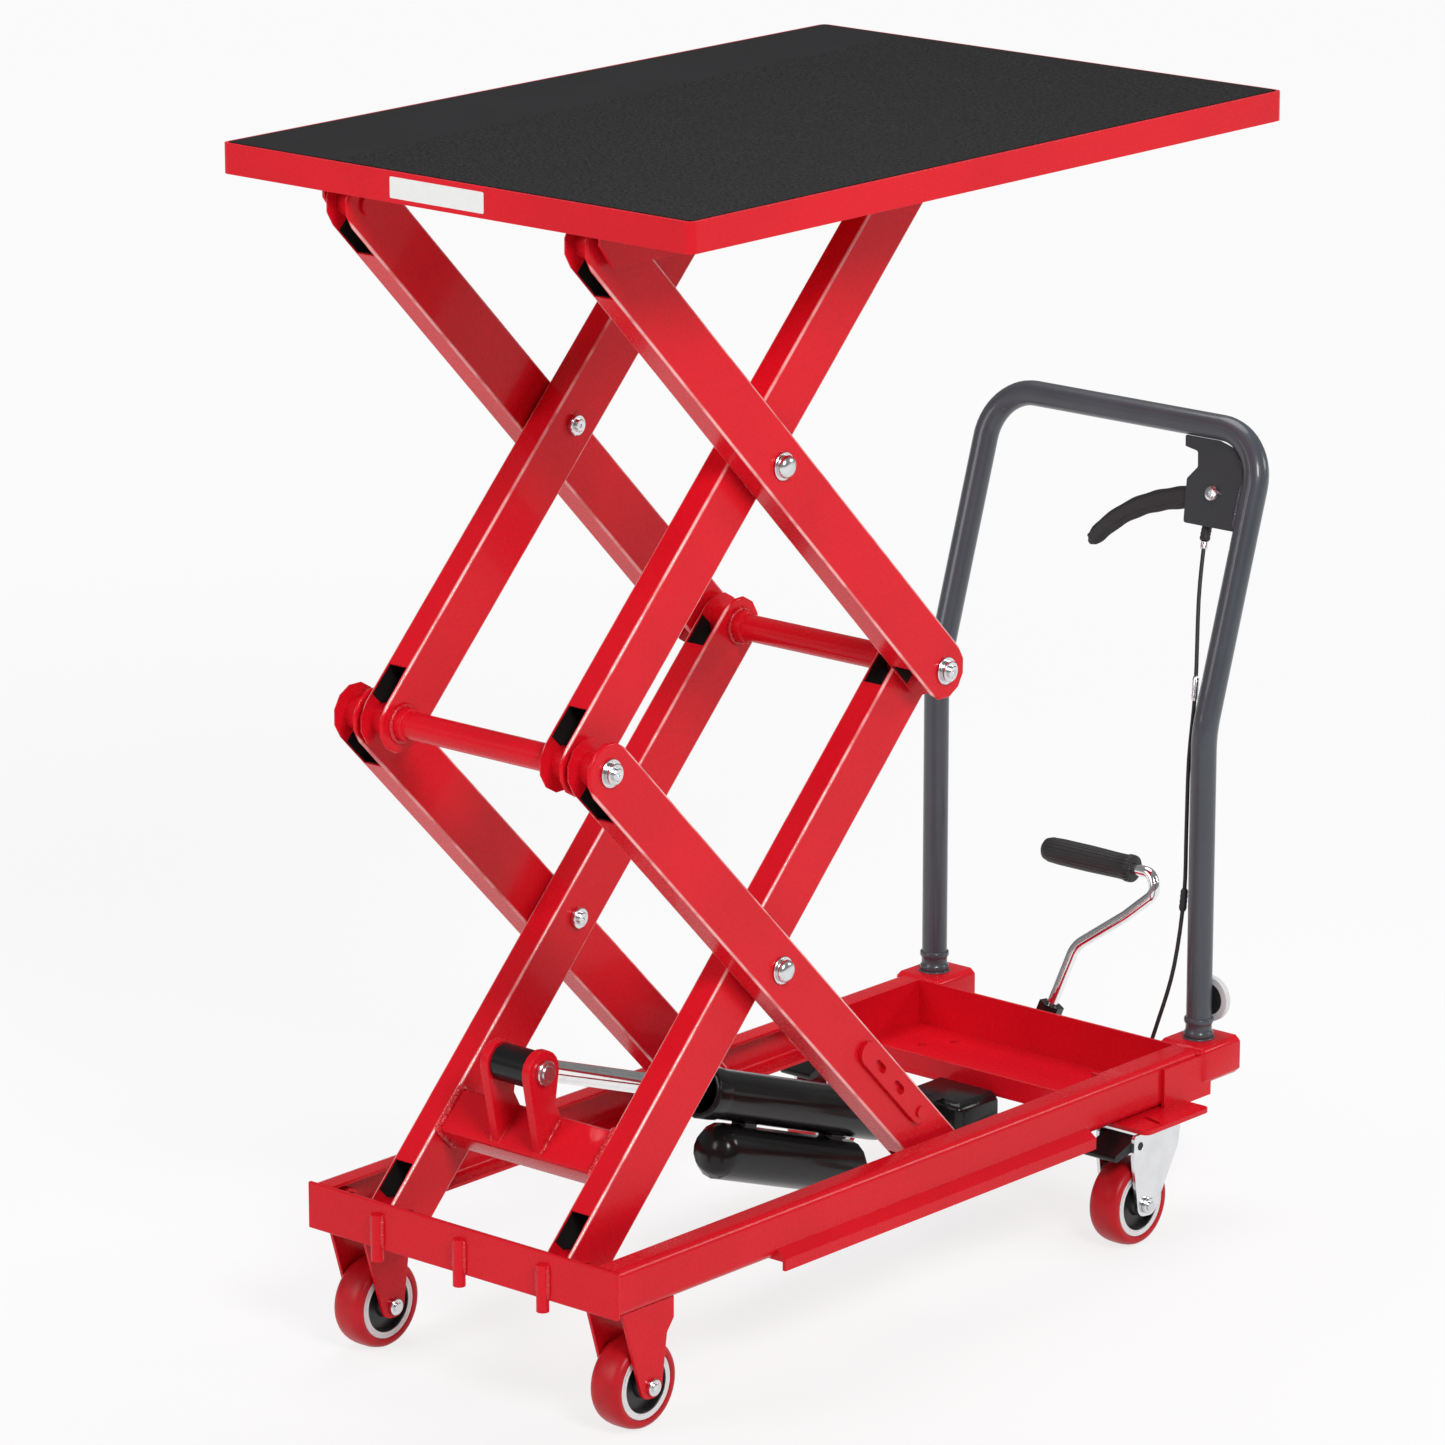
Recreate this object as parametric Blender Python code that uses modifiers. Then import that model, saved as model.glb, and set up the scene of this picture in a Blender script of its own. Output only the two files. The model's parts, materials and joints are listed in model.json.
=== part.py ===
"""Double scissor lift table on four casters, raised by a foot pump.

Metres, +Z up. X is the width and Y runs from the front beam to the handle. The floor is Z = 0. Pieces are drawn
with the scissor's fixed pivots at Y = 0, and are then moved so that the origin lies under the middle of the whole.
They are modelled with the lift partly raised, as it stands in use.
"""

import math

import bmesh
import bpy
from mathutils import Matrix, Vector

# Clearances
SEAT = 0.0003
RUN = 0.0003
SIDE_PLAY = 0.0004

# Casters
WHEEL_RADIUS = 0.046
WHEEL_WIDTH = 0.036
TYRE_DEPTH = 0.0105
AXLE_RADIUS = 0.005
FORK_WALL = 0.004
FORK_PLAY = 0.003
FORK_HEADROOM = 0.039
FRONT_WHEEL_Y = 0.024
FRONT_WHEEL_INSET = 0.0310
FRONT_FORK_LENGTH = 0.074
FRONT_FORK_SETBACK = 0.018
SWIVEL_OUTSET = 0.0035
SWIVEL_SETBACK = 0.045
SWIVEL_TRAIL = 0.032
SWIVEL_PLATE = 0.005
KING_PIN_RADIUS = 0.009
BRAKE_ROLL_RADIUS = 0.009
BRAKE_LENGTH = 0.036
BRAKE_PIN_RADIUS = 0.004

# Base frame
BASE_WIDTH = 0.405
RAIL_HEIGHT = 0.048
RAIL_FLANGE = 0.0265
RAIL_WALL = 0.004
RAIL_BEND = 0.0085
SHAFT_SOCKET = 0.016
LIP_FRONT = 0.200
LIP_REAR_GAP = 0.052
LIP_OUT = 0.012
LIP_DROP = 0.011
BEAM_WALL = 0.005
BEAM_ARM_ROOM = 0.0008
LUG_RADIUS = 0.0065
LUG_SPACING = 0.110
LUG_DROP = 0.012
LUG_LENGTH = 0.048
TRAY_LENGTH = 0.1335
TRAY_WALL = 0.003
TRAY_FLOOR = 0.0047
TRAY_LIP = 0.018
TRAY_HOLE_RADIUS = 0.005
TRAY_EAR = 0.0375
TRAY_EAR_LENGTH = 0.108
GUSSET_LAP = 0.036
ARM_END_ROOM = 0.0114

# Scissor
ARM_SPAN = 0.708
ARM_DEPTH = 0.060
ARM_WIDTH = 0.030
ARM_WALL = 0.003
ARM_MOUTH = 0.030
ARM_GAP = 0.0055
RAIL_ARM_GAP = 0.0085
REST_ANGLE = math.radians(45.45)
LOWERED_ANGLE = math.radians(8.0)
RAISED_ANGLE = math.radians(54.0)
BOSS_RADIUS = 0.013
PIN_RADIUS = 0.008
STUB_RADIUS = 0.007
ROLLER_WIDTH = 0.0240
ROLLER_GAP = 0.0025
HEAD_RADIUS = 0.0115
HEAD_HEIGHT = 0.0085
WASHER_RADIUS = 0.0140
WASHER_WALL = 0.0020
CROSS_TUBE_RADIUS = 0.0140
COLLAR_RADIUS = 0.0170
COLLAR_WIDTH = 0.012
BAR_WALL = 0.0045
BAR_LENGTH = 0.137
BAR_WIDTH = 0.024
BAR_END_OFFSET = 0.056
BAR_RISE = 0.010
RIVET_RADIUS = 0.0030

# Lower crossbar, clevis and ram; along and rise are measured on the lower inner arms
CROSSBAR_ALONG = 0.112
CROSSBAR_RISE = 0.010
CROSSBAR_DEPTH = 0.050
CROSSBAR_HEIGHT = 0.034
CLEVIS_ALONG = 0.155
CLEVIS_RISE = 0.080
CLEVIS_EAR_RADIUS = 0.022
CLEVIS_EAR_WALL = 0.010
ROD_EYE_WIDTH = 0.044
ROD_EYE_RADIUS = 0.019
ROD_RADIUS = 0.011
ROD_LENGTH = 0.360
BARREL_RADIUS = 0.0260
BARREL_WALL = 0.0035
BARREL_LENGTH = 0.335
BARREL_TAIL_WIDTH = 0.020
RAM_PIVOT_FORWARD = 0.110
RAM_PIVOT_DROP = 0.011
RAM_PIVOT_RADIUS = 0.008
RESERVOIR_RADIUS = 0.029
RESERVOIR_START = 0.060
RESERVOIR_LENGTH = 0.240

# Pump and foot pedal
PUMP_LENGTH = 0.102
PUMP_RIGHT = 0.050
PUMP_BOTTOM = 0.075
PUMP_TOP = 0.004
PEDAL_X = -0.0405
PEDAL_WALL = 0.008
PEDAL_DEPTH = 0.022
PEDAL_PIVOT_SETBACK = 0.052
PEDAL_PIVOT_DROP = 0.026
PEDAL_PIN_RADIUS = 0.005
PEDAL_REACH = 0.240
PEDAL_RISE = 0.040
PEDAL_EAR_WALL = 0.006
PLUNGER_RADIUS = 0.006
PLUNGER_OFFSET = 0.032
PLUNGER_LENGTH = 0.038
PLUNGER_BARREL_RADIUS = 0.013
SOCKET_RADIUS = 0.014
SOCKET_LENGTH = 0.034
PEDAL_ROD_RADIUS = 0.0062
GRIP_RADIUS = 0.0150
GRIP_LENGTH = 0.122
GRIP_RIBS = 6

# Table
TABLE_LENGTH = 0.893
TABLE_WIDTH = 0.600
TABLE_RIM = 0.030
TABLE_SHEET = 0.003
TABLE_RIM_WALL = 0.004
TABLE_CORNER = 0.008
TABLE_FRONT_OVERHANG = 0.0348
TABLE_PIVOT_DROP = 0.044
MAT_WALL = 0.0045
MAT_PROUD = 0.0008
GUIDE_WALL = 0.0035
GUIDE_TRACK = 0.033
GUIDE_TRACK_WALL = 0.003
GUIDE_ARM_GAP = 0.007
GUIDE_FRONT = 0.022
GUIDE_END_ROOM = 0.034
GUIDE_NOSE = 0.0395

# Handle
HANDLE_TUBE_RADIUS = 0.0135
HANDLE_INSET = 0.023
HANDLE_SETBACK = 0.0313
HANDLE_KINK_RISE = 0.381
HANDLE_TOP_RISE = 0.681
HANDLE_LEAN = 0.096
HANDLE_KINK_BEND = 0.120
HANDLE_CORNER_BEND = 0.055
RIB_SWELL = 1.16
SOCKET_BLOCK_WIDTH = 0.062
SOCKET_BLOCK_LENGTH = 0.070
SOCKET_BLOCK_HEIGHT = 0.041
SOCKET_BLOCK_PROUD = 0.002
SOCKET_DEPTH = 0.031
BRACKET_WALL = 0.005
LEVER_WALL = 0.010
LEVER_PIVOT_X = 0.0489
LEVER_PIVOT_DROP = 0.0696
LEVER_LENGTH = 0.150
LEVER_HALF_DEPTH = 0.0085
LEVER_BOLT_RADIUS = 0.004
BRACKET_BOTTOM_DROP = 0.1045
BRACKET_WIDTH = 0.0855
CABLE_RADIUS = 0.0022
DISC_RADIUS = 0.028
DISC_WALL = 0.012
DISC_RISE = 0.0885

# Facets
ROUND_SIDES = 16
HEAD_SIDES = 10
PIN_SIDES = 8
WHEEL_STEPS = 20
CROSS_TUBE_SIDES = 12
HANDLE_SIDES = 10
ARC_STEPS = 3
FLAT_ANGLE = math.radians(0.3)

# Worked out from the driving dimensions
AXLE_Z = WHEEL_RADIUS
BEAM_SETBACK = ARM_DEPTH / 2.0 + BEAM_ARM_ROOM + BEAM_WALL
BASE_BOTTOM = 2.0 * WHEEL_RADIUS + FORK_HEADROOM
BASE_TOP = BASE_BOTTOM + RAIL_HEIGHT
PIVOT_Z = BASE_BOTTOM + RAIL_HEIGHT / 2.0
RAIL_OUTER = BASE_WIDTH / 2.0
RAIL_INNER = RAIL_OUTER - RAIL_FLANGE
OUTER_ARM_X = RAIL_INNER - RAIL_ARM_GAP - ARM_WIDTH / 2.0
INNER_ARM_X = OUTER_ARM_X - ARM_WIDTH - ARM_GAP
OUTER_FACE = OUTER_ARM_X + ARM_WIDTH / 2.0
INNER_FACE = INNER_ARM_X - ARM_WIDTH / 2.0
ARM_RISE = ARM_SPAN * math.sin(REST_ANGLE)
ARM_RUN = ARM_SPAN * math.cos(REST_ANGLE)
LOWERED_RUN = ARM_SPAN * math.cos(LOWERED_ANGLE)
RAISED_RUN = ARM_SPAN * math.cos(RAISED_ANGLE)
MIDDLE_Z = PIVOT_Z + ARM_RISE
TOP_PIVOT_Z = PIVOT_Z + 2.0 * ARM_RISE
TABLE_TOP = TOP_PIVOT_Z + TABLE_PIVOT_DROP
RAIL_ROLLER_RADIUS = RAIL_HEIGHT / 2.0 - RAIL_WALL - SEAT
GUIDE_ROLLER_RADIUS = GUIDE_TRACK / 2.0 - SEAT
TRAY_FRONT = LOWERED_RUN + ARM_DEPTH / 2.0 + ARM_END_ROOM
TRAY_BACK = TRAY_FRONT + TRAY_LENGTH
SWIVEL_X = RAIL_OUTER + SWIVEL_OUTSET
SWIVEL_Y = TRAY_FRONT + SWIVEL_SETBACK
REAR_WHEEL_Y = SWIVEL_Y - SWIVEL_TRAIL
FRONT_WHEEL_X = RAIL_OUTER - FRONT_WHEEL_INSET
FLOOR_TOP = BASE_BOTTOM - SEAT
FLOOR_BOTTOM = FLOOR_TOP - TRAY_FLOOR
POST_X = RAIL_OUTER - HANDLE_INSET
POST_Y = TRAY_BACK + HANDLE_SETBACK
KINK_Z = BASE_BOTTOM + HANDLE_KINK_RISE
HANDLE_TOP_Z = BASE_BOTTOM + HANDLE_TOP_RISE
LEAN_ANGLE = math.atan2(HANDLE_LEAN, HANDLE_TOP_Z - KINK_Z)
LEAN_LENGTH = math.hypot(HANDLE_LEAN, HANDLE_TOP_Z - KINK_Z)
RAM_PIVOT = Vector((0.0, TRAY_FRONT - RAM_PIVOT_FORWARD, BASE_BOTTOM - RAM_PIVOT_DROP))
PEDAL_PIVOT = Vector((PEDAL_X, TRAY_FRONT - PEDAL_PIVOT_SETBACK, BASE_BOTTOM - PEDAL_PIVOT_DROP))

FRONT_END = -BEAM_SETBACK - 0.001 - LUG_RADIUS
REAR_END = POST_Y + HANDLE_LEAN + HANDLE_TUBE_RADIUS
CENTRING = Matrix.Translation((0.0, -(FRONT_END + REAR_END) / 2.0, 0.0))

# Frames for flat outlines: thickness along X, along -Y, and in the plane of the handle's leaning part
SIDE_VIEW = Matrix(((0, 0, 1, 0), (1, 0, 0, 0), (0, 1, 0, 0), (0, 0, 0, 1)))
FRONT_VIEW = Matrix(((1, 0, 0, 0), (0, 0, -1, 0), (0, 1, 0, 0), (0, 0, 0, 1)))
LEAN_VIEW = Matrix.Translation((0.0, POST_Y, KINK_Z)) @ Matrix.Rotation(-LEAN_ANGLE, 4, "X") @ FRONT_VIEW

RED = ("red_paint", (0.62, 0.012, 0.018), 0.0, 0.32)
RED_TYRE = ("red_polyurethane", (0.47, 0.012, 0.016), 0.0, 0.42)
SLATE = ("slate_paint", (0.060, 0.068, 0.080), 0.0, 0.38)
BLACK = ("black_paint", (0.010, 0.010, 0.011), 0.0, 0.30)
PLASTIC = ("black_plastic", (0.013, 0.013, 0.014), 0.0, 0.40)
RUBBER = ("black_rubber", (0.016, 0.016, 0.017), 0.0, 0.70)
ZINC = ("zinc_plate", (0.72, 0.73, 0.75), 1.0, 0.30)
CHROME = ("chrome", (0.80, 0.80, 0.82), 1.0, 0.10)


def clear_scene():
    for old in list(bpy.data.objects):
        bpy.data.objects.remove(old, do_unlink=True)


def add_collection(name):
    collection = bpy.data.collections.new(name)
    bpy.context.scene.collection.children.link(collection)
    return collection


def material(finish):
    name, colour, metallic, roughness = finish
    found = bpy.data.materials.get(name)
    if found:
        return found
    made = bpy.data.materials.new(name)
    made.use_nodes = True
    shader = made.node_tree.nodes["Principled BSDF"]
    shader.inputs["Base Color"].default_value = (*colour, 1.0)
    shader.inputs["Metallic"].default_value = metallic
    shader.inputs["Roughness"].default_value = roughness
    return made


# Mesh tools: each returns a mesh, placed in the frame that it is drawn in


def evaluated(data, modify=None):
    """The mesh of a curve or mesh once the modifiers that modify adds are worked out."""
    worker = bpy.data.objects.new("worker", data)
    CUTTERS.objects.link(worker)
    if modify:
        modify(worker)
    graph = bpy.context.evaluated_depsgraph_get()
    result = bpy.data.meshes.new_from_object(worker.evaluated_get(graph))
    bpy.data.objects.remove(worker, do_unlink=True)
    return result


def cleaned(mesh, merge=1e-6):
    """The mesh with its corners merged, its flat faces made whole and its faces turned outwards."""
    work = bmesh.new()
    work.from_mesh(mesh)
    bmesh.ops.remove_doubles(work, verts=work.verts, dist=merge)
    bmesh.ops.dissolve_limit(work, angle_limit=FLAT_ANGLE, verts=work.verts, edges=work.edges)
    bmesh.ops.recalc_face_normals(work, faces=work.faces)
    if work.calc_volume(signed=True) < 0.0:
        bmesh.ops.reverse_faces(work, faces=work.faces)
    work.to_mesh(mesh)
    work.free()
    return mesh


def placed(mesh, matrix):
    mesh.transform(matrix)
    return mesh


def together(*meshes):
    """Several meshes that don't touch, held in one mesh to cut with."""
    work = bmesh.new()
    for mesh in meshes:
        work.from_mesh(mesh)
    joined = bpy.data.meshes.new("joined")
    work.to_mesh(joined)
    work.free()
    return joined


def boolean(body, tool, operation):
    other = bpy.data.objects.new("cutter", tool)
    other.hide_render = True
    other.display_type = "WIRE"
    CUTTERS.objects.link(other)

    def modify(worker):
        step = worker.modifiers.new(operation.lower(), "BOOLEAN")
        step.operation = operation
        step.object = other

    result = evaluated(body, modify)
    bpy.data.objects.remove(other, do_unlink=True)
    return cleaned(result)


def cut(body, *tools):
    return boolean(body, together(*tools), "DIFFERENCE")


def fused(body, *others):
    for other in others:
        body = boolean(body, other, "UNION")
    return body


def block(low, high, bevel=0.0):
    low = Vector(low)
    high = Vector(high)
    size = high - low
    work = bmesh.new()
    place = Matrix.Translation((low + high) / 2.0) @ Matrix.Diagonal((*size, 1.0))
    bmesh.ops.create_cube(work, size=1.0, matrix=place)
    if bevel:
        bmesh.ops.bevel(work, geom=work.edges[:], offset=bevel, segments=1, profile=0.5, affect="EDGES")
    mesh = bpy.data.meshes.new("block")
    work.to_mesh(mesh)
    work.free()
    return mesh


def along_axis(start, end):
    """Frame whose Z runs from start to end, with its origin at start."""
    start = Vector(start)
    direction = Vector(end) - start
    return Matrix.Translation(start) @ direction.to_track_quat("Z", "Y").to_matrix().to_4x4()


def clear_of(radius, sides=PIN_SIDES):
    """Radius of a faceted bore whose flats stay clear of a pin of the given radius, however either is turned."""
    return (radius + RUN) / math.cos(math.pi / sides)


def rod(radius, start, end, sides=HEAD_SIDES):
    length = (Vector(end) - Vector(start)).length
    work = bmesh.new()
    lift = Matrix.Translation((0.0, 0.0, length / 2.0))
    bmesh.ops.create_cone(work, cap_ends=True, segments=sides, radius1=radius, radius2=radius, depth=length,
                          matrix=along_axis(start, end) @ lift)
    mesh = bpy.data.meshes.new("rod")
    work.to_mesh(mesh)
    work.free()
    return mesh


def turned(profile, start, end, steps=HEAD_SIDES):
    """A profile of (radius, height) points, spun about the line from start to end; closed by itself if a ring."""
    on_axis = profile[0][0] == 0.0
    count = len(profile)
    edges = [(i, i + 1) for i in range(count - 1)]
    if not on_axis:
        edges.append((count - 1, 0))
    wire = bpy.data.meshes.new("profile")
    wire.from_pydata([(radius, 0.0, height) for radius, height in profile], edges, [])

    def modify(worker):
        screw = worker.modifiers.new("turn", "SCREW")
        screw.steps = steps
        screw.render_steps = steps
        screw.use_merge_vertices = True
        screw.merge_threshold = 1e-5

    return placed(cleaned(evaluated(wire, modify), 1e-5), along_axis(start, end))


def plate(loops, thickness, frame=Matrix(), offset=0.0):
    """A flat outline with any holes, given as closed loops of points, thick both ways from its plane."""
    curve = bpy.data.curves.new("outline", "CURVE")
    curve.dimensions = "2D"
    curve.fill_mode = "BOTH"
    curve.extrude = thickness / 2.0
    for loop in loops:
        spline = curve.splines.new("POLY")
        spline.points.add(len(loop) - 1)
        for point, spot in zip(spline.points, loop):
            point.co = (spot[0], spot[1], 0.0, 1.0)
        spline.use_cyclic_u = True
    mesh = cleaned(evaluated(curve))
    return placed(mesh, frame @ Matrix.Translation((0.0, 0.0, offset)))


def swept(route, radius, resolution=2, widths=None):
    """A round bar along a route; widths gives each point's share of the radius."""
    curve = bpy.data.curves.new("route", "CURVE")
    curve.dimensions = "3D"
    curve.bevel_depth = radius
    curve.bevel_resolution = resolution
    curve.use_fill_caps = True
    spline = curve.splines.new("POLY")
    spline.points.add(len(route) - 1)
    for index, spot in enumerate(route):
        spline.points[index].co = (*spot, 1.0)
        spline.points[index].radius = widths[index] if widths else 1.0
    return cleaned(evaluated(curve), 1e-5)


# Outlines and routes


def circle(radius, centre=(0.0, 0.0), sides=PIN_SIDES):
    return [(centre[0] + radius * math.cos(math.tau * i / sides),
             centre[1] + radius * math.sin(math.tau * i / sides))
            for i in range(sides)]


def slot(start, end, radius, steps=ARC_STEPS):
    """Outline with two round ends about start and end."""
    start = Vector(start)
    end = Vector(end)
    heading = math.atan2(end.y - start.y, end.x - start.x)
    points = []
    for centre, first in ((end, heading - math.pi / 2.0), (start, heading + math.pi / 2.0)):
        for i in range(steps + 1):
            turn = first + math.pi * i / steps
            points.append((centre.x + radius * math.cos(turn), centre.y + radius * math.sin(turn)))
    return points


def rounded(corners, closed=True, steps=ARC_STEPS):
    """Corners as (point, bend radius); each bend becomes an arc."""
    points = []
    count = len(corners)
    for index, (spot, bend) in enumerate(corners):
        spot = Vector(spot)
        if bend == 0.0 or (not closed and index in (0, count - 1)):
            points.append(spot)
            continue
        back = (Vector(corners[index - 1][0]) - spot).normalized()
        ahead = (Vector(corners[(index + 1) % count][0]) - spot).normalized()
        half = back.angle(ahead) / 2.0
        middle = spot + (back + ahead).normalized() * (bend / math.sin(half))
        first = spot + back * (bend / math.tan(half)) - middle
        last = spot + ahead * (bend / math.tan(half)) - middle
        for i in range(steps + 1):
            points.append(middle + first.slerp(last, i / steps) * bend)
    return points


def rounded_box(low, high, bend):
    return rounded([((low[0], low[1]), bend), ((high[0], low[1]), bend),
                    ((high[0], high[1]), bend), ((low[0], high[1]), bend)])


def wrapped(first, last, centre, radius, steps):
    """Points from the tangent out of last, round the circle to the left, to the tangent into first."""
    turns = []
    for spot, side in ((last, 1.0), (first, -1.0)):
        away = Vector(spot) - Vector(centre)
        turns.append(math.atan2(away.y, away.x) + side * math.acos(radius / away.length))
    start, end = turns
    if end < start:
        end += math.tau
    return [(centre[0] + radius * math.cos(start + (end - start) * i / steps),
             centre[1] + radius * math.sin(start + (end - start) * i / steps)) for i in range(steps + 1)]


def smooth_route(spots, per_span):
    """Points of a smooth curve that passes through the spots."""
    spots = [Vector(spot) for spot in spots]
    ends = [spots[0] * 2.0 - spots[1], *spots, spots[-1] * 2.0 - spots[-2]]
    route = []
    for i in range(1, len(ends) - 2):
        a, b, c, d = ends[i - 1:i + 3]
        for j in range(per_span):
            t = j / per_span
            route.append(0.5 * (2.0 * b + (c - a) * t + (2.0 * a - 5.0 * b + 4.0 * c - d) * t * t
                                + (3.0 * b - a - 3.0 * c + d) * t ** 3))
    route.append(spots[-1])
    return route


def mirrored(points, side):
    return [(side * x, y) for x, y in points]


# Nodes


def pivot(name, spot):
    """An empty on a joint's axis, which carries the pieces that move about it."""
    empty = bpy.data.objects.new(name, None)
    empty.location = CENTRING @ Vector(spot)
    PARTS.objects.link(empty)
    bpy.context.view_layer.update()
    return empty


def node(name, mesh, finish, carrier=None):
    work = bmesh.new()
    work.from_mesh(mesh)
    bmesh.ops.triangulate(work, faces=work.faces, quad_method="BEAUTY", ngon_method="BEAUTY")
    work.to_mesh(mesh)
    work.free()
    mesh.transform(CENTRING)
    mesh.name = name
    mesh.materials.clear()
    mesh.materials.append(material(finish))
    mesh.shade_smooth()
    mesh.set_sharp_from_angle(angle=math.radians(38.0))
    made = bpy.data.objects.new(name, mesh)
    PARTS.objects.link(made)
    if carrier:
        made.parent = carrier
        made.matrix_parent_inverse = carrier.matrix_world.inverted()
    return made


SIDES = (("left", -1.0), ("right", 1.0))


# Casters


def tyre_profile():
    half = WHEEL_WIDTH / 2.0
    inner = WHEEL_RADIUS - TYRE_DEPTH
    outer = [(inner, half - 0.0005), (WHEEL_RADIUS - 0.0055, half), (WHEEL_RADIUS - 0.0016, half - 0.0045),
             (WHEEL_RADIUS, half * 0.35)]
    return outer + [(radius, -height) for radius, height in reversed(outer)]


def hub_profile():
    half = WHEEL_WIDTH / 2.0
    rim = WHEEL_RADIUS - TYRE_DEPTH - SEAT
    ring = rim - 0.007
    web = half - 0.008
    boss = half + FORK_PLAY - SEAT
    outer = [(clear_of(AXLE_RADIUS, WHEEL_STEPS), boss), (0.0115, boss), (ring - 0.002, web), (ring, half - 0.001),
             (rim, half - 0.001)]
    return outer + [(radius, -height) for radius, height in reversed(outer)]


def dome_end(shank, height):
    """Half profile of a domed nut on its washer, standing on the clamped face at the given height."""
    top = height + WASHER_WALL + HEAD_HEIGHT
    return [(0.0, top), (HEAD_RADIUS * 0.55, top), (HEAD_RADIUS, top - HEAD_HEIGHT * 0.4),
            (HEAD_RADIUS, height + WASHER_WALL), (WASHER_RADIUS, height + WASHER_WALL), (WASHER_RADIUS, height),
            (shank, height)]


def plain_end(shank, height, head, head_height):
    """Half profile of a plain round head on the clamped face at the given height."""
    return [(0.0, height + head_height), (head, height + head_height), (head, height), (shank, height)]


def bolt(start, end, upper, lower):
    """A pin spun from the half profiles of its two ends, the lower one drawn upside down from height 0."""
    below = [(radius, -height) for radius, height in reversed(lower)]
    return turned(upper + below, start, end, PIN_SIDES)


def length_between(start, end):
    return (Vector(end) - Vector(start)).length


def plain_bolt(shank, start, end, head, head_height):
    upper = plain_end(shank, length_between(start, end), head, head_height)
    return bolt(start, end, upper, plain_end(shank, 0.0, head, head_height))


def wheel(name, centre, carrier):
    spin = pivot(name + "_spin", centre)
    if carrier:
        spin.parent = carrier
        spin.matrix_parent_inverse = carrier.matrix_world.inverted()
        bpy.context.view_layer.update()
    reach = Vector((1.0, 0.0, 0.0))
    node(name + "_tyre", turned(tyre_profile(), centre, centre + reach, WHEEL_STEPS), RED_TYRE, spin)
    node(name + "_hub", turned(hub_profile(), centre, centre + reach, WHEEL_STEPS), PLASTIC, spin)


def axle_bolt(name, centre, finish, carrier):
    half = WHEEL_WIDTH / 2.0 + FORK_PLAY + FORK_WALL + SEAT
    reach = Vector((half, 0.0, 0.0))
    node(name, plain_bolt(AXLE_RADIUS, centre - reach, centre + reach, 0.0085, 0.006), finish, carrier)


def fork_legs(outline, centre_x, extra_holes=()):
    """Two upright cheeks either side of a wheel, with the axle hole in each."""
    legs = []
    for _, side in SIDES:
        middle = centre_x + side * (WHEEL_WIDTH / 2.0 + FORK_PLAY + FORK_WALL / 2.0)
        legs.append(plate([outline, *extra_holes], FORK_WALL, SIDE_VIEW, middle))
    return legs


def front_casters():
    top = BASE_BOTTOM - SEAT
    front = -FRONT_FORK_SETBACK
    rear = front + FRONT_FORK_LENGTH
    y = FRONT_WHEEL_Y
    outline = rounded([((front, top), 0.0), ((y - 0.013, AXLE_Z - 0.011), 0.012),
                       ((y + 0.013, AXLE_Z - 0.013), 0.012),
                       ((y + 0.022, AXLE_Z + 0.050), 0.006), ((rear, top - 0.022), 0.004), ((rear, top), 0.0)])
    axle_hole = circle(clear_of(AXLE_RADIUS), (y, AXLE_Z))
    for label, side in SIDES:
        x = side * FRONT_WHEEL_X
        half = WHEEL_WIDTH / 2.0 + FORK_PLAY + FORK_WALL
        crown = block((x - half, front, top - FORK_WALL), (x + half, rear, top))
        legs = fork_legs(outline, x, [axle_hole])
        node(f"front_fork_{label}", fused(crown, *legs), RED)
        centre = Vector((x, y, AXLE_Z))
        wheel(f"front_wheel_{label}", centre, None)
        axle_bolt(f"front_axle_{label}", centre, ZINC, None)


def rear_casters():
    top = FLOOR_BOTTOM - SEAT
    y = REAR_WHEEL_Y
    brake_y = y - 0.012
    brake_z = top - BRAKE_ROLL_RADIUS - 0.0035
    outline = rounded([((brake_y - 0.010, top), 0.004), ((brake_y - 0.011, top - 0.024), 0.006),
                       ((y - 0.0135, AXLE_Z - 0.010), 0.011), ((y + 0.012, AXLE_Z - 0.013), 0.011),
                       ((SWIVEL_Y + 0.020, top - 0.026), 0.020), ((SWIVEL_Y + 0.024, top), 0.004)])
    holes = [circle(clear_of(AXLE_RADIUS), (y, AXLE_Z)), circle(clear_of(BRAKE_PIN_RADIUS), (brake_y, brake_z))]
    for label, side in SIDES:
        x = side * SWIVEL_X
        half = WHEEL_WIDTH / 2.0 + FORK_PLAY + FORK_WALL
        swivel = pivot(f"rear_caster_{label}_swivel", (x, SWIVEL_Y, top))
        crown = block((x - half, SWIVEL_Y - 0.022, top - SWIVEL_PLATE), (x + half, SWIVEL_Y + 0.023, top))
        fork = fused(crown, *fork_legs(outline, x, holes))
        king_hole = rod(clear_of(KING_PIN_RADIUS, HEAD_SIDES), (x, SWIVEL_Y, top - 0.02), (x, SWIVEL_Y, top + 0.02))
        fork = cut(fork, king_hole)
        node(f"rear_fork_{label}", fork, ZINC, swivel)
        centre = Vector((x, y, AXLE_Z))
        wheel(f"rear_wheel_{label}", centre, swivel)
        axle_bolt(f"rear_axle_{label}", centre, ZINC, swivel)
        hinge = pivot(f"brake_{label}_hinge", (x, brake_y, brake_z))
        hinge.parent = swivel
        hinge.matrix_parent_inverse = swivel.matrix_world.inverted()
        bpy.context.view_layer.update()
        node(f"brake_pedal_{label}", brake_pedal(x, brake_y, brake_z), BLACK, hinge)


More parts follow.
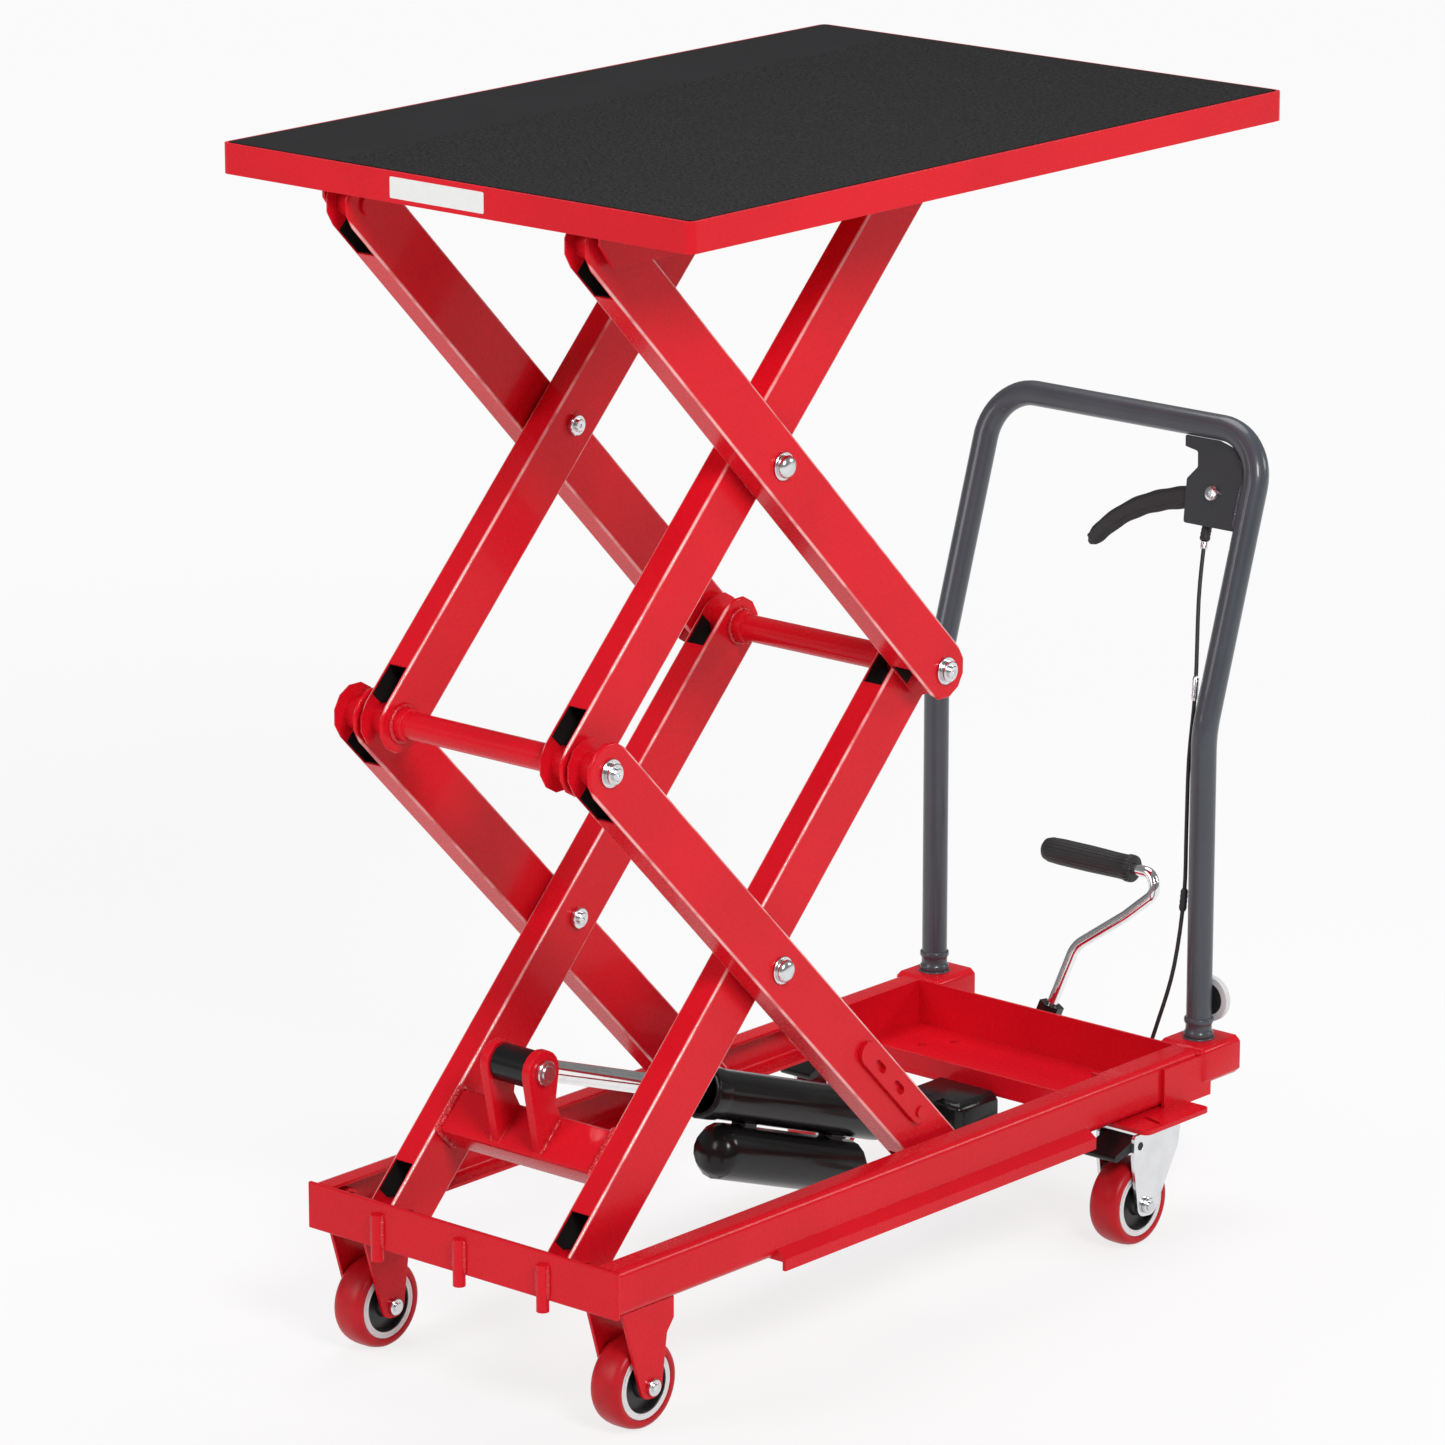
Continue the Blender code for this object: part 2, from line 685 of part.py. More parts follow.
def brake_pedal(x, y, z):
    """A rolled tread that reaches forward over the tyre, on a cross pin held in the fork's cheeks."""
    half = WHEEL_WIDTH / 2.0 + FORK_PLAY - SIDE_PLAY
    tip = y - BRAKE_LENGTH
    tread = rounded([((y, z + BRAKE_ROLL_RADIUS), 0.0), ((y, z - 0.003), 0.0), ((tip, z - 0.011), 0.003),
                     ((tip - 0.002, z - 0.004), 0.003)])
    roll = plate([circle(BRAKE_ROLL_RADIUS, (y, z), HEAD_SIDES)], 2.0 * half, SIDE_VIEW, x)
    pin_half = half + SIDE_PLAY + FORK_WALL
    pin = rod(BRAKE_PIN_RADIUS, (x - pin_half, y, z), (x + pin_half, y, z), PIN_SIDES)
    return fused(roll, plate([tread], 2.0 * half, SIDE_VIEW, x), pin)


# Base frame


def side_rail(label, side):
    bend = RAIL_BEND
    inner_bend = RAIL_BEND - RAIL_WALL
    section = rounded([((RAIL_INNER, BASE_BOTTOM), 0.0), ((RAIL_OUTER, BASE_BOTTOM), bend),
                       ((RAIL_OUTER, BASE_TOP), bend), ((RAIL_INNER, BASE_TOP), 0.0),
                       ((RAIL_INNER, BASE_TOP - RAIL_WALL), 0.0),
                       ((RAIL_OUTER - RAIL_WALL, BASE_TOP - RAIL_WALL), inner_bend),
                       ((RAIL_OUTER - RAIL_WALL, BASE_BOTTOM + RAIL_WALL), inner_bend),
                       ((RAIL_INNER, BASE_BOTTOM + RAIL_WALL), 0.0)])
    front = -BEAM_SETBACK + BEAM_WALL + SEAT
    rear = TRAY_BACK - 0.001 - SEAT
    rail = plate([mirrored(section, side)], rear - front, FRONT_VIEW, -(front + rear) / 2.0)
    edge = RAIL_OUTER
    lip = [(edge - 0.012, BASE_BOTTOM + 0.0015), (edge - 0.006, BASE_BOTTOM + 0.0025),
           (edge - 0.0005, BASE_BOTTOM + 0.010), (edge + LIP_OUT, BASE_BOTTOM + 0.001),
           (edge + LIP_OUT, BASE_BOTTOM - LIP_DROP), (edge + LIP_OUT - RAIL_WALL, BASE_BOTTOM - LIP_DROP),
           (edge + LIP_OUT - RAIL_WALL, BASE_BOTTOM - 0.0022), (edge - 0.012, BASE_BOTTOM - 0.0022)]
    lip_rear = TRAY_FRONT - LIP_REAR_GAP
    strip = plate([mirrored(lip, side)], lip_rear - LIP_FRONT, FRONT_VIEW, -(LIP_FRONT + lip_rear) / 2.0)
    web = RAIL_OUTER - RAIL_WALL
    socket = rod(BOSS_RADIUS, (side * (web + 0.001), 0.0, PIVOT_Z), (side * (web - SHAFT_SOCKET), 0.0, PIVOT_Z))
    bore = rod(clear_of(PIN_RADIUS), (side * web, 0.0, PIVOT_Z), (side * (web - 0.05), 0.0, PIVOT_Z), PIN_SIDES)
    node(f"side_rail_{label}", cut(fused(rail, strip, socket), bore), RED)


def front_beam():
    face = -BEAM_SETBACK
    half = RAIL_OUTER + 0.003
    beam = block((-half, face, BASE_BOTTOM), (half, face + BEAM_WALL, BASE_TOP), 0.0012)
    lug_bottom = BASE_BOTTOM - LUG_DROP
    lugs = [rod(LUG_RADIUS, (step * LUG_SPACING, face - 0.001, lug_bottom),
                (step * LUG_SPACING, face - 0.001, lug_bottom + LUG_LENGTH)) for step in (-1, 0, 1)]
    node("front_beam", fused(beam, *lugs), RED)


def front_pivot_shaft():
    reach = RAIL_OUTER - RAIL_WALL - SEAT
    node("front_pivot_shaft", rod(PIN_RADIUS, (-reach, 0.0, PIVOT_Z), (reach, 0.0, PIVOT_Z)), ZINC)


def rear_tray():
    """Bent tray between the rails, with caster ears under them and the two post sockets behind."""
    wall_face = RAIL_INNER - SEAT
    ear_rear = TRAY_FRONT + TRAY_EAR_LENGTH
    ear_face = RAIL_OUTER + TRAY_EAR
    half = RAIL_OUTER
    floor_back = TRAY_BACK - 0.0006
    right = [((half, floor_back), 0.0), ((half, ear_rear), 0.0), ((ear_face, ear_rear), 0.008),
             ((ear_face, TRAY_FRONT), 0.008)]
    left = [((-x, y), bend) for (x, y), bend in reversed(right)]
    outline = rounded(left + right)
    holes = []
    for _, side in SIDES:
        slot_y = SWIVEL_Y - 0.008
        slot_start = (side * (RAIL_OUTER + 0.006), slot_y)
        holes.append(slot(slot_start, (side * (ear_face - 0.010), slot_y - 0.006), 0.0028))
    for step in (0, 1):
        holes.append(circle(TRAY_HOLE_RADIUS, (-wall_face + 0.055 + 0.02 * step, TRAY_BACK - 0.060 + 0.03 * step)))
    tray = plate([outline, *holes], TRAY_FLOOR, Matrix(), FLOOR_TOP - TRAY_FLOOR / 2.0)
    low = FLOOR_TOP - 0.001
    lip_face = TRAY_FRONT + 0.0008
    walls = plate([rounded_box((-wall_face, lip_face), (wall_face, TRAY_BACK), 0.0),
                   rounded_box((TRAY_WALL - wall_face, lip_face + TRAY_WALL),
                               (wall_face - TRAY_WALL, TRAY_BACK - TRAY_WALL),
                               0.0)], BASE_TOP - low, Matrix(), (low + BASE_TOP) / 2.0)
    lowering = block((0.010 - wall_face, lip_face - 0.01, FLOOR_TOP + TRAY_LIP),
                     (wall_face - 0.010, lip_face + 0.012, BASE_TOP + 0.01))
    parts = [cut(walls, lowering)]
    for _, side in SIDES:
        parts.append(post_socket(side * POST_X))
        near, far = sorted((side * (RAIL_OUTER + SEAT), side * (RAIL_OUTER + SEAT + RAIL_WALL)))
        gusset_front = ear_rear - GUSSET_LAP
        parts.append(block((near, gusset_front, FLOOR_BOTTOM + 0.001),
                           (far, TRAY_BACK + GUSSET_LAP / 2.0, BASE_TOP - 0.006)))
        top = FLOOR_BOTTOM + 0.001
        x = side * SWIVEL_X
        under = FLOOR_BOTTOM - SEAT - SWIVEL_PLATE - SEAT
        parts.append(turned([(0.0, 0.0), (KING_PIN_RADIUS, 0.0), (KING_PIN_RADIUS, under - top),
                             (0.013, under - top), (0.013, under - top - 0.004), (0.0, under - top - 0.004)],
                            (x, SWIVEL_Y, top), (x, SWIVEL_Y, top + 1.0)))
    tray = fused(tray, *parts)
    bores = [rod(clear_of(HANDLE_TUBE_RADIUS, ROUND_SIDES),
                 (side * POST_X, POST_Y, BASE_TOP + SOCKET_BLOCK_PROUD - SOCKET_DEPTH),
                 (side * POST_X, POST_Y, BASE_TOP + 0.05), ROUND_SIDES) for _, side in SIDES]
    node("rear_tray", cut(tray, *bores), RED)


def post_socket(x):
    half = SOCKET_BLOCK_WIDTH / 2.0
    front = TRAY_BACK - 0.001
    top = BASE_TOP + SOCKET_BLOCK_PROUD
    return block((x - half, front, top - SOCKET_BLOCK_HEIGHT), (x + half, front + SOCKET_BLOCK_LENGTH, top), 0.006)


# Scissor arms, drawn with the first pivot at the origin and the second at Y = ARM_SPAN


def arm(side, bores, spacers=(), stub=None, rivet=False):
    """A box tube cut square before its pivots, with its two sides carried on as round ears.

    Spacers lists the pivots with a ring towards the inner arm; stub is (place, reach) of a roller's axle.
    """
    half = ARM_WIDTH / 2.0
    depth = ARM_DEPTH / 2.0
    body = plate([slot((0.0, 0.0), (ARM_SPAN, 0.0), depth, 6)], ARM_WIDTH, SIDE_VIEW)
    hollow = block((ARM_WALL - half, -ARM_DEPTH, ARM_WALL - depth),
                   (half - ARM_WALL, ARM_SPAN + ARM_DEPTH, depth - ARM_WALL))
    mouths = [block((ARM_WALL - half, -ARM_DEPTH, -ARM_DEPTH), (half - ARM_WALL, ARM_MOUTH, ARM_DEPTH)),
              block((ARM_WALL - half, ARM_SPAN - ARM_MOUTH, -ARM_DEPTH),
                    (half - ARM_WALL, ARM_SPAN + ARM_DEPTH, ARM_DEPTH))]
    body = cut(cut(body, hollow), *mouths)
    additions = []
    for place in spacers:
        additions.append(rod(BOSS_RADIUS, (-side * (half - 0.001), place, 0.0),
                             (-side * (half + ARM_GAP - SEAT), place, 0.0)))
    if stub:
        place, reach = stub
        additions.append(rod(STUB_RADIUS, (-side * (half - 0.001), place, 0.0),
                             (side * (half + reach), place, 0.0)))
    if rivet:
        place = ARM_SPAN - BAR_END_OFFSET - BAR_WIDTH / 2.0
        head = half + BAR_WALL + 2.0 * SIDE_PLAY
        additions.append(turned([(0.0, head + 0.0018), (2.0 * RIVET_RADIUS, head + 0.0018),
                                 (2.0 * RIVET_RADIUS, head),
                                 (RIVET_RADIUS, head), (RIVET_RADIUS, half - 0.001), (0.0, half - 0.001)],
                                (0.0, place, BAR_RISE), (side, place, BAR_RISE), 8))
    body = fused(body, *additions)
    holes = [rod(clear_of(PIN_RADIUS), (-0.1, place, 0.0), (0.1, place, 0.0), PIN_SIDES) for place in bores]
    return cut(body, *holes)


def arm_frame(x, origin_z, angle):
    return Matrix.Translation((x, 0.0, origin_z)) @ Matrix.Rotation(angle, 4, "X")


def lower_inner_frame(carrier):
    """Frame of the two rising lower arms, hinged at the front pivot shaft."""
    for label, side in SIDES:
        body = arm(side, (0.0, ARM_SPAN / 2.0, ARM_SPAN))
        frame = arm_frame(side * INNER_ARM_X, PIVOT_Z, REST_ANGLE)
        node(f"lower_inner_arm_{label}", placed(body, frame), RED, carrier)
    cross_tube("rear_middle_tube", ARM_RUN, carrier)
    crossbar(carrier)


def cross_tube(name, y, carrier):
    """Tube between the inner arms, with a weld collar at each end."""
    half = INNER_FACE - SEAT
    collar = half - COLLAR_WIDTH
    right = [(CROSS_TUBE_RADIUS, collar), (COLLAR_RADIUS, collar), (COLLAR_RADIUS, half),
             (clear_of(PIN_RADIUS, CROSS_TUBE_SIDES), half)]
    profile = right + [(radius, -height) for radius, height in reversed(right)]
    node(name, turned(profile, (0.0, y, MIDDLE_Z), (1.0, y, MIDDLE_Z), CROSS_TUBE_SIDES), RED, carrier)


def middle_shaft(name, y, carrier):
    reach = OUTER_FACE + SEAT
    ends = dome_end(PIN_RADIUS, 2.0 * reach), dome_end(PIN_RADIUS, 0.0)
    node(name, bolt((-reach, y, MIDDLE_Z), (reach, y, MIDDLE_Z), *ends), ZINC, carrier)


def crossbar(carrier):
    """Bar between the lower inner arms, with the two ears that carry the ram's pin."""
    half = INNER_FACE - SEAT
    top = CROSSBAR_RISE + CROSSBAR_HEIGHT / 2.0
    bar = block((-half, CROSSBAR_ALONG - CROSSBAR_DEPTH / 2.0, CROSSBAR_RISE - CROSSBAR_HEIGHT / 2.0),
                (half, CROSSBAR_ALONG + CROSSBAR_DEPTH / 2.0, top), 0.003)
    front = CROSSBAR_ALONG - CROSSBAR_DEPTH / 2.0 + 0.002
    rear = CROSSBAR_ALONG + CROSSBAR_DEPTH / 2.0 - 0.002
    centre = (CLEVIS_ALONG, CLEVIS_RISE)
    outline = [(front, top - 0.004), (rear, top - 0.004), (rear + 0.006, top + 0.016)]
    outline += wrapped(outline[0], outline[-1], centre, CLEVIS_EAR_RADIUS, 10)
    hole = circle(clear_of(PIN_RADIUS), centre)
    middle = ROD_EYE_WIDTH / 2.0 + SIDE_PLAY + CLEVIS_EAR_WALL / 2.0
    ears = [plate([outline, hole], CLEVIS_EAR_WALL, SIDE_VIEW, side * middle) for _, side in SIDES]
    frame = arm_frame(0.0, PIVOT_Z, REST_ANGLE)
    node("lower_crossbar", placed(fused(bar, *ears), frame), RED, carrier)
    pin_half = middle + CLEVIS_EAR_WALL / 2.0 + SEAT
    pin = plain_bolt(PIN_RADIUS, (-pin_half, CLEVIS_ALONG, CLEVIS_RISE), (pin_half, CLEVIS_ALONG, CLEVIS_RISE),
                     0.0125, 0.006)
    node("clevis_pin", placed(pin, frame), ZINC, carrier)


def roller(name, radius, x, side, spot, carrier):
    spin = pivot(name + "_spin", (side * x, *spot))
    spin.parent = carrier
    spin.matrix_parent_inverse = carrier.matrix_world.inverted()
    bpy.context.view_layer.update()
    half = ROLLER_WIDTH / 2.0
    bore = clear_of(STUB_RADIUS, ROUND_SIDES)
    profile = [(bore, half), (radius, half), (radius, -half), (bore, -half)]
    centre = Vector((side * x, *spot))
    node(name, turned(profile, centre, centre + Vector((1.0, 0.0, 0.0)), ROUND_SIDES), ZINC, spin)


def lower_outer_frame(carrier):
    """The two falling lower arms, with rollers that run in the side rails."""
    frame_z = MIDDLE_Z
    roller_x = OUTER_FACE + ROLLER_GAP + ROLLER_WIDTH / 2.0
    reach = ROLLER_GAP + ROLLER_WIDTH + 0.001
    for label, side in SIDES:
        body = arm(side, (0.0, ARM_SPAN / 2.0), (0.0, ARM_SPAN / 2.0), (ARM_SPAN, reach), side > 0.0)
        frame = arm_frame(side * OUTER_ARM_X, frame_z, -REST_ANGLE)
        node(f"lower_outer_arm_{label}", placed(body, frame), RED, carrier)
        roller(f"rail_roller_{label}", RAIL_ROLLER_RADIUS, roller_x, side, (ARM_RUN, PIVOT_Z), carrier)
        centre_bolt(f"lower_centre_bolt_{label}", side, PIVOT_Z + ARM_RISE / 2.0, carrier)
    middle_shaft("front_middle_shaft", 0.0, carrier)


def centre_bolt(name, side, z, carrier):
    y = ARM_RUN / 2.0
    inner = INNER_FACE - SEAT
    outer = OUTER_FACE + SEAT
    ends = dome_end(PIN_RADIUS, outer - inner), plain_end(PIN_RADIUS, 0.0, HEAD_RADIUS, HEAD_HEIGHT)
    node(name, bolt((side * inner, y, z), (side * outer, y, z), *ends), ZINC, carrier)


def safety_bar(carrier):
    """Flat bar with two oval holes that lies along the lower right outer arm."""
    lower = ARM_SPAN - BAR_END_OFFSET - BAR_WIDTH / 2.0
    upper = lower - BAR_LENGTH + BAR_WIDTH
    rivet_hole = circle(clear_of(RIVET_RADIUS), (lower, BAR_RISE))
    ovals = []
    for share, radius in ((0.42, 0.0046), (0.78, 0.0043)):
        middle = lower + (upper - lower) * share
        ovals.append(slot((middle - 0.006, BAR_RISE), (middle + 0.006, BAR_RISE), radius))
    outline = slot((upper, BAR_RISE), (lower, BAR_RISE), BAR_WIDTH / 2.0, 8)
    middle = OUTER_FACE + SIDE_PLAY + BAR_WALL / 2.0
    frame = Matrix.Translation((0.0, 0.0, MIDDLE_Z)) @ Matrix.Rotation(-REST_ANGLE, 4, "X") @ SIDE_VIEW
    hinge = pivot("safety_bar_hinge", frame @ Vector((lower, BAR_RISE, middle)))
    hinge.parent = carrier
    hinge.matrix_parent_inverse = carrier.matrix_world.inverted()
    bpy.context.view_layer.update()
    node("safety_bar", plate([outline, rivet_hole, *ovals], BAR_WALL, frame, middle), RED, hinge)


def upper_inner_frame(carrier):
    """The two rising upper arms, with rollers that run in the table's guides."""
    roller_x = INNER_ARM_X + ARM_WIDTH / 2.0 + ROLLER_GAP + ROLLER_WIDTH / 2.0
    reach = ROLLER_GAP + ROLLER_WIDTH + 0.001
    for label, side in SIDES:
        body = arm(side, (0.0, ARM_SPAN / 2.0), (), (ARM_SPAN, reach))
        frame = arm_frame(side * INNER_ARM_X, MIDDLE_Z, REST_ANGLE)
        node(f"upper_inner_arm_{label}", placed(body, frame), RED, carrier)
        roller(f"guide_roller_{label}", GUIDE_ROLLER_RADIUS, roller_x, side, (ARM_RUN, TOP_PIVOT_Z), carrier)
    cross_tube("front_middle_tube", 0.0, carrier)


def upper_outer_frame(carrier):
    """The two falling upper arms, which hold up the front of the table."""
    for label, side in SIDES:
        body = arm(side, (0.0, ARM_SPAN / 2.0, ARM_SPAN), (ARM_SPAN / 2.0, ARM_SPAN))
        node(f"upper_outer_arm_{label}", placed(body, arm_frame(side * OUTER_ARM_X, TOP_PIVOT_Z, -REST_ANGLE)), RED,
             carrier)
        centre_bolt(f"upper_centre_bolt_{label}", side, MIDDLE_Z + ARM_RISE / 2.0, carrier)
    middle_shaft("rear_middle_shaft", ARM_RUN, carrier)


# Table


def table(carrier):
    """Pressed frame with a mat pocket, and under it the guides for the rollers and the front pivot pins."""
    half = TABLE_WIDTH / 2.0
    front = -TABLE_FRONT_OVERHANG
    rear = front + TABLE_LENGTH
    pocket = MAT_WALL + SEAT - MAT_PROUD
    body = plate([rounded_box((-half, front), (half, rear), TABLE_CORNER)], TABLE_RIM, Matrix(),
                 TABLE_TOP - TABLE_RIM / 2.0)
    inner_low = (TABLE_RIM_WALL - half, front + TABLE_RIM_WALL)
    inner_high = (half - TABLE_RIM_WALL, rear - TABLE_RIM_WALL)
    inner_bend = max(TABLE_CORNER - TABLE_RIM_WALL, 0.001)
    inner = rounded_box(inner_low, inner_high, inner_bend)
    recess = plate([inner], 2.0 * pocket, Matrix(), TABLE_TOP)
    under_height = TABLE_RIM - pocket - TABLE_SHEET
    hollow = plate([inner], 2.0 * under_height, Matrix(), TABLE_TOP - TABLE_RIM)
    body = cut(body, recess, hollow)
    sheet_bottom = TABLE_TOP - pocket - TABLE_SHEET
    for _, side in SIDES:
        body = fused(body, *guide(side, sheet_bottom))
    node("table_frame", body, RED, carrier)
    mat_low = (inner_low[0] + SEAT, inner_low[1] + SEAT)
    mat_high = (inner_high[0] - SEAT, inner_high[1] - SEAT)
    node("table_mat", plate([rounded_box(mat_low, mat_high, inner_bend)], MAT_WALL, Matrix(),
                            TABLE_TOP + MAT_PROUD - MAT_WALL / 2.0), RUBBER, carrier)


def guide(side, sheet_bottom):
    """Web, two roller tracks and the pivot pin of one guide channel."""
    web_inner = OUTER_FACE + GUIDE_ARM_GAP
    rear = LOWERED_RUN + GUIDE_END_ROOM
    track_front = RAISED_RUN - GUIDE_ROLLER_RADIUS - 0.005
    low = TOP_PIVOT_Z - GUIDE_TRACK / 2.0 - GUIDE_TRACK_WALL
    high = sheet_bottom + 0.001
    web = [(-GUIDE_FRONT, high), (-GUIDE_FRONT, TABLE_TOP - GUIDE_NOSE), (-GUIDE_FRONT + 0.018, low), (rear, low),
           (rear, high)]
    pieces = [plate([web], GUIDE_WALL, SIDE_VIEW, side * (web_inner + GUIDE_WALL / 2.0))]
    inner = INNER_ARM_X + ARM_WIDTH / 2.0 + ROLLER_GAP
    outer = web_inner + 0.001
    for sign in (-1.0, 1.0):
        middle = TOP_PIVOT_Z + sign * (GUIDE_TRACK + GUIDE_TRACK_WALL) / 2.0
        x_low, x_high = sorted((side * inner, side * outer))
        pieces.append(block((x_low, track_front, middle - GUIDE_TRACK_WALL / 2.0),
                            (x_high, rear, middle + GUIDE_TRACK_WALL / 2.0)))
    pin_end = OUTER_ARM_X - ARM_WIDTH / 2.0 - SIDE_PLAY
    pieces.append(rod(PIN_RADIUS, (side * outer, 0.0, TOP_PIVOT_Z), (side * (pin_end - 0.001), 0.0, TOP_PIVOT_Z)))
    pieces.append(rod(1.5 * PIN_RADIUS, (side * pin_end, 0.0, TOP_PIVOT_Z),
                      (side * (pin_end - 0.003), 0.0, TOP_PIVOT_Z)))
    return pieces


# Ram


def clevis_spot():
    return arm_frame(0.0, PIVOT_Z, REST_ANGLE) @ Vector((0.0, CLEVIS_ALONG, CLEVIS_RISE))


def ram(barrel_carrier, rod_carrier):
    """Barrel hinged at the pump, rod hinged in the clevis, both on the line between the two pins."""
    pin = clevis_spot()
    line = (pin - RAM_PIVOT).normalized()
    tail = RAM_PIVOT + line * 0.040
    mouth = RAM_PIVOT + line * BARREL_LENGTH
    length = BARREL_LENGTH - 0.040
    bore = BARREL_RADIUS - BARREL_WALL
    profile = [(0.0, 0.010), (bore, 0.010), (bore, length), (BARREL_RADIUS - 0.001, length),
               (BARREL_RADIUS + 0.002, length - 0.002), (BARREL_RADIUS + 0.002, length - 0.022),
               (BARREL_RADIUS, length - 0.024), (BARREL_RADIUS, 0.004), (BARREL_RADIUS - 0.004, 0.0), (0.0, 0.0)]
    barrel = turned(profile, tail, mouth, ROUND_SIDES)
    half = BARREL_TAIL_WIDTH / 2.0
    centre = (RAM_PIVOT.y, RAM_PIVOT.z)
    lug = slot(centre, (tail.y + line.y * 0.004, tail.z + line.z * 0.004), 0.015, 8)
    hole = circle(clear_of(RAM_PIVOT_RADIUS), centre)
    below = Vector((0.0, -line.z, line.y))
    gap = BARREL_RADIUS + 0.002 + SEAT + RESERVOIR_RADIUS
    start = RAM_PIVOT + line * RESERVOIR_START + below * gap
    end = start + line * RESERVOIR_LENGTH
    cap = RESERVOIR_RADIUS * 0.72
    outline = [(0.0, 0.0), (cap, 0.002), (RESERVOIR_RADIUS, 0.014), (RESERVOIR_RADIUS, RESERVOIR_LENGTH - 0.014),
               (cap, RESERVOIR_LENGTH - 0.002), (0.0, RESERVOIR_LENGTH)]
    tank = turned(outline[::-1], start, end, ROUND_SIDES)
    frame = Matrix.Translation(RAM_PIVOT) @ Matrix((Vector((1.0, 0.0, 0.0)), below, line)).transposed().to_4x4()
    straps = []
    for share in (0.2, 0.8):
        place = RESERVOIR_START + RESERVOIR_LENGTH * share
        strap = block((-0.009, BARREL_RADIUS - 0.0022, place - 0.010),
                      (0.009, gap - RESERVOIR_RADIUS + 0.004, place + 0.010))
        straps.append(placed(strap, frame))
    tail_lug = plate([lug, hole], 2.0 * half, SIDE_VIEW)
    node("ram_barrel", fused(barrel, tail_lug, *straps, tank), BLACK, barrel_carrier)
    eye = rod(ROD_EYE_RADIUS, pin - Vector((ROD_EYE_WIDTH / 2.0, 0.0, 0.0)),
              pin + Vector((ROD_EYE_WIDTH / 2.0, 0.0, 0.0)), ROUND_SIDES)
    shaft = rod(ROD_RADIUS, pin, pin - line * ROD_LENGTH, 16)
    eye_hole = rod(clear_of(PIN_RADIUS), pin - Vector((0.1, 0.0, 0.0)), pin + Vector((0.1, 0.0, 0.0)), PIN_SIDES)
    node("ram_rod", cut(fused(eye, shaft), eye_hole), CHROME, rod_carrier)


# Pump and pedal


def pump_block():
    """Cast pump on the tray's front lip, with ears for the ram and for the pedal, and the plunger's barrel."""
    rear = TRAY_FRONT - SEAT
    front = rear - PUMP_LENGTH
    low = BASE_BOTTOM - PUMP_BOTTOM
    high = BASE_BOTTOM + PUMP_TOP
    left = PEDAL_X + PEDAL_WALL / 2.0 + SIDE_PLAY
    ear_inner = PEDAL_X - PEDAL_WALL / 2.0 - SIDE_PLAY
    ear_outer = ear_inner - PEDAL_EAR_WALL
    pin = PEDAL_PIVOT
    body = block((left, front + 0.030, low), (PUMP_RIGHT, rear, high), 0.009)
    bridge = block((ear_outer, front + 0.030, pin.z - 0.014), (left + 0.008, pin.y - 0.019, pin.z + 0.014))
    ear = plate([slot((pin.y - 0.024, pin.z), (pin.y, pin.z), 0.014)], PEDAL_EAR_WALL, SIDE_VIEW,
                (ear_inner + ear_outer) / 2.0)
    pedal_pin = rod(PEDAL_PIN_RADIUS, (ear_outer + 0.001, pin.y, pin.z), (left + 0.004, pin.y, pin.z))
    ears = []
    for _, side in SIDES:
        middle = side * (BARREL_TAIL_WIDTH / 2.0 + SIDE_PLAY + 0.006)
        outline = slot((RAM_PIVOT.y, RAM_PIVOT.z), (front + 0.036, RAM_PIVOT.z), 0.017)
        ears.append(plate([outline], 0.012, SIDE_VIEW, middle))
    reach = BARREL_TAIL_WIDTH / 2.0 + SIDE_PLAY + 0.001
    ram_pin = rod(RAM_PIVOT_RADIUS, (-reach, RAM_PIVOT.y, RAM_PIVOT.z), (reach, RAM_PIVOT.y, RAM_PIVOT.z))
    plunger_y = pin.y + PLUNGER_OFFSET
    plunger_top = pin.z - PEDAL_DEPTH / 2.0 - 0.020
    barrel_low = plunger_top - 0.032
    barrel = rod(PLUNGER_BARREL_RADIUS, (PEDAL_X, plunger_y, barrel_low), (PEDAL_X, plunger_y, plunger_top), 16)
    web = block((PEDAL_X, plunger_y - 0.009, low + 0.002), (left + 0.008, plunger_y + 0.009, plunger_top - 0.001))
    bore = rod(clear_of(PLUNGER_RADIUS), (PEDAL_X, plunger_y, barrel_low - 0.01),
               (PEDAL_X, plunger_y, plunger_top + 0.026), PIN_SIDES)
    pump = fused(body, bridge, ear, pedal_pin, *ears, ram_pin, web, barrel)
    node("pump_block", cut(pump, bore), BLACK)


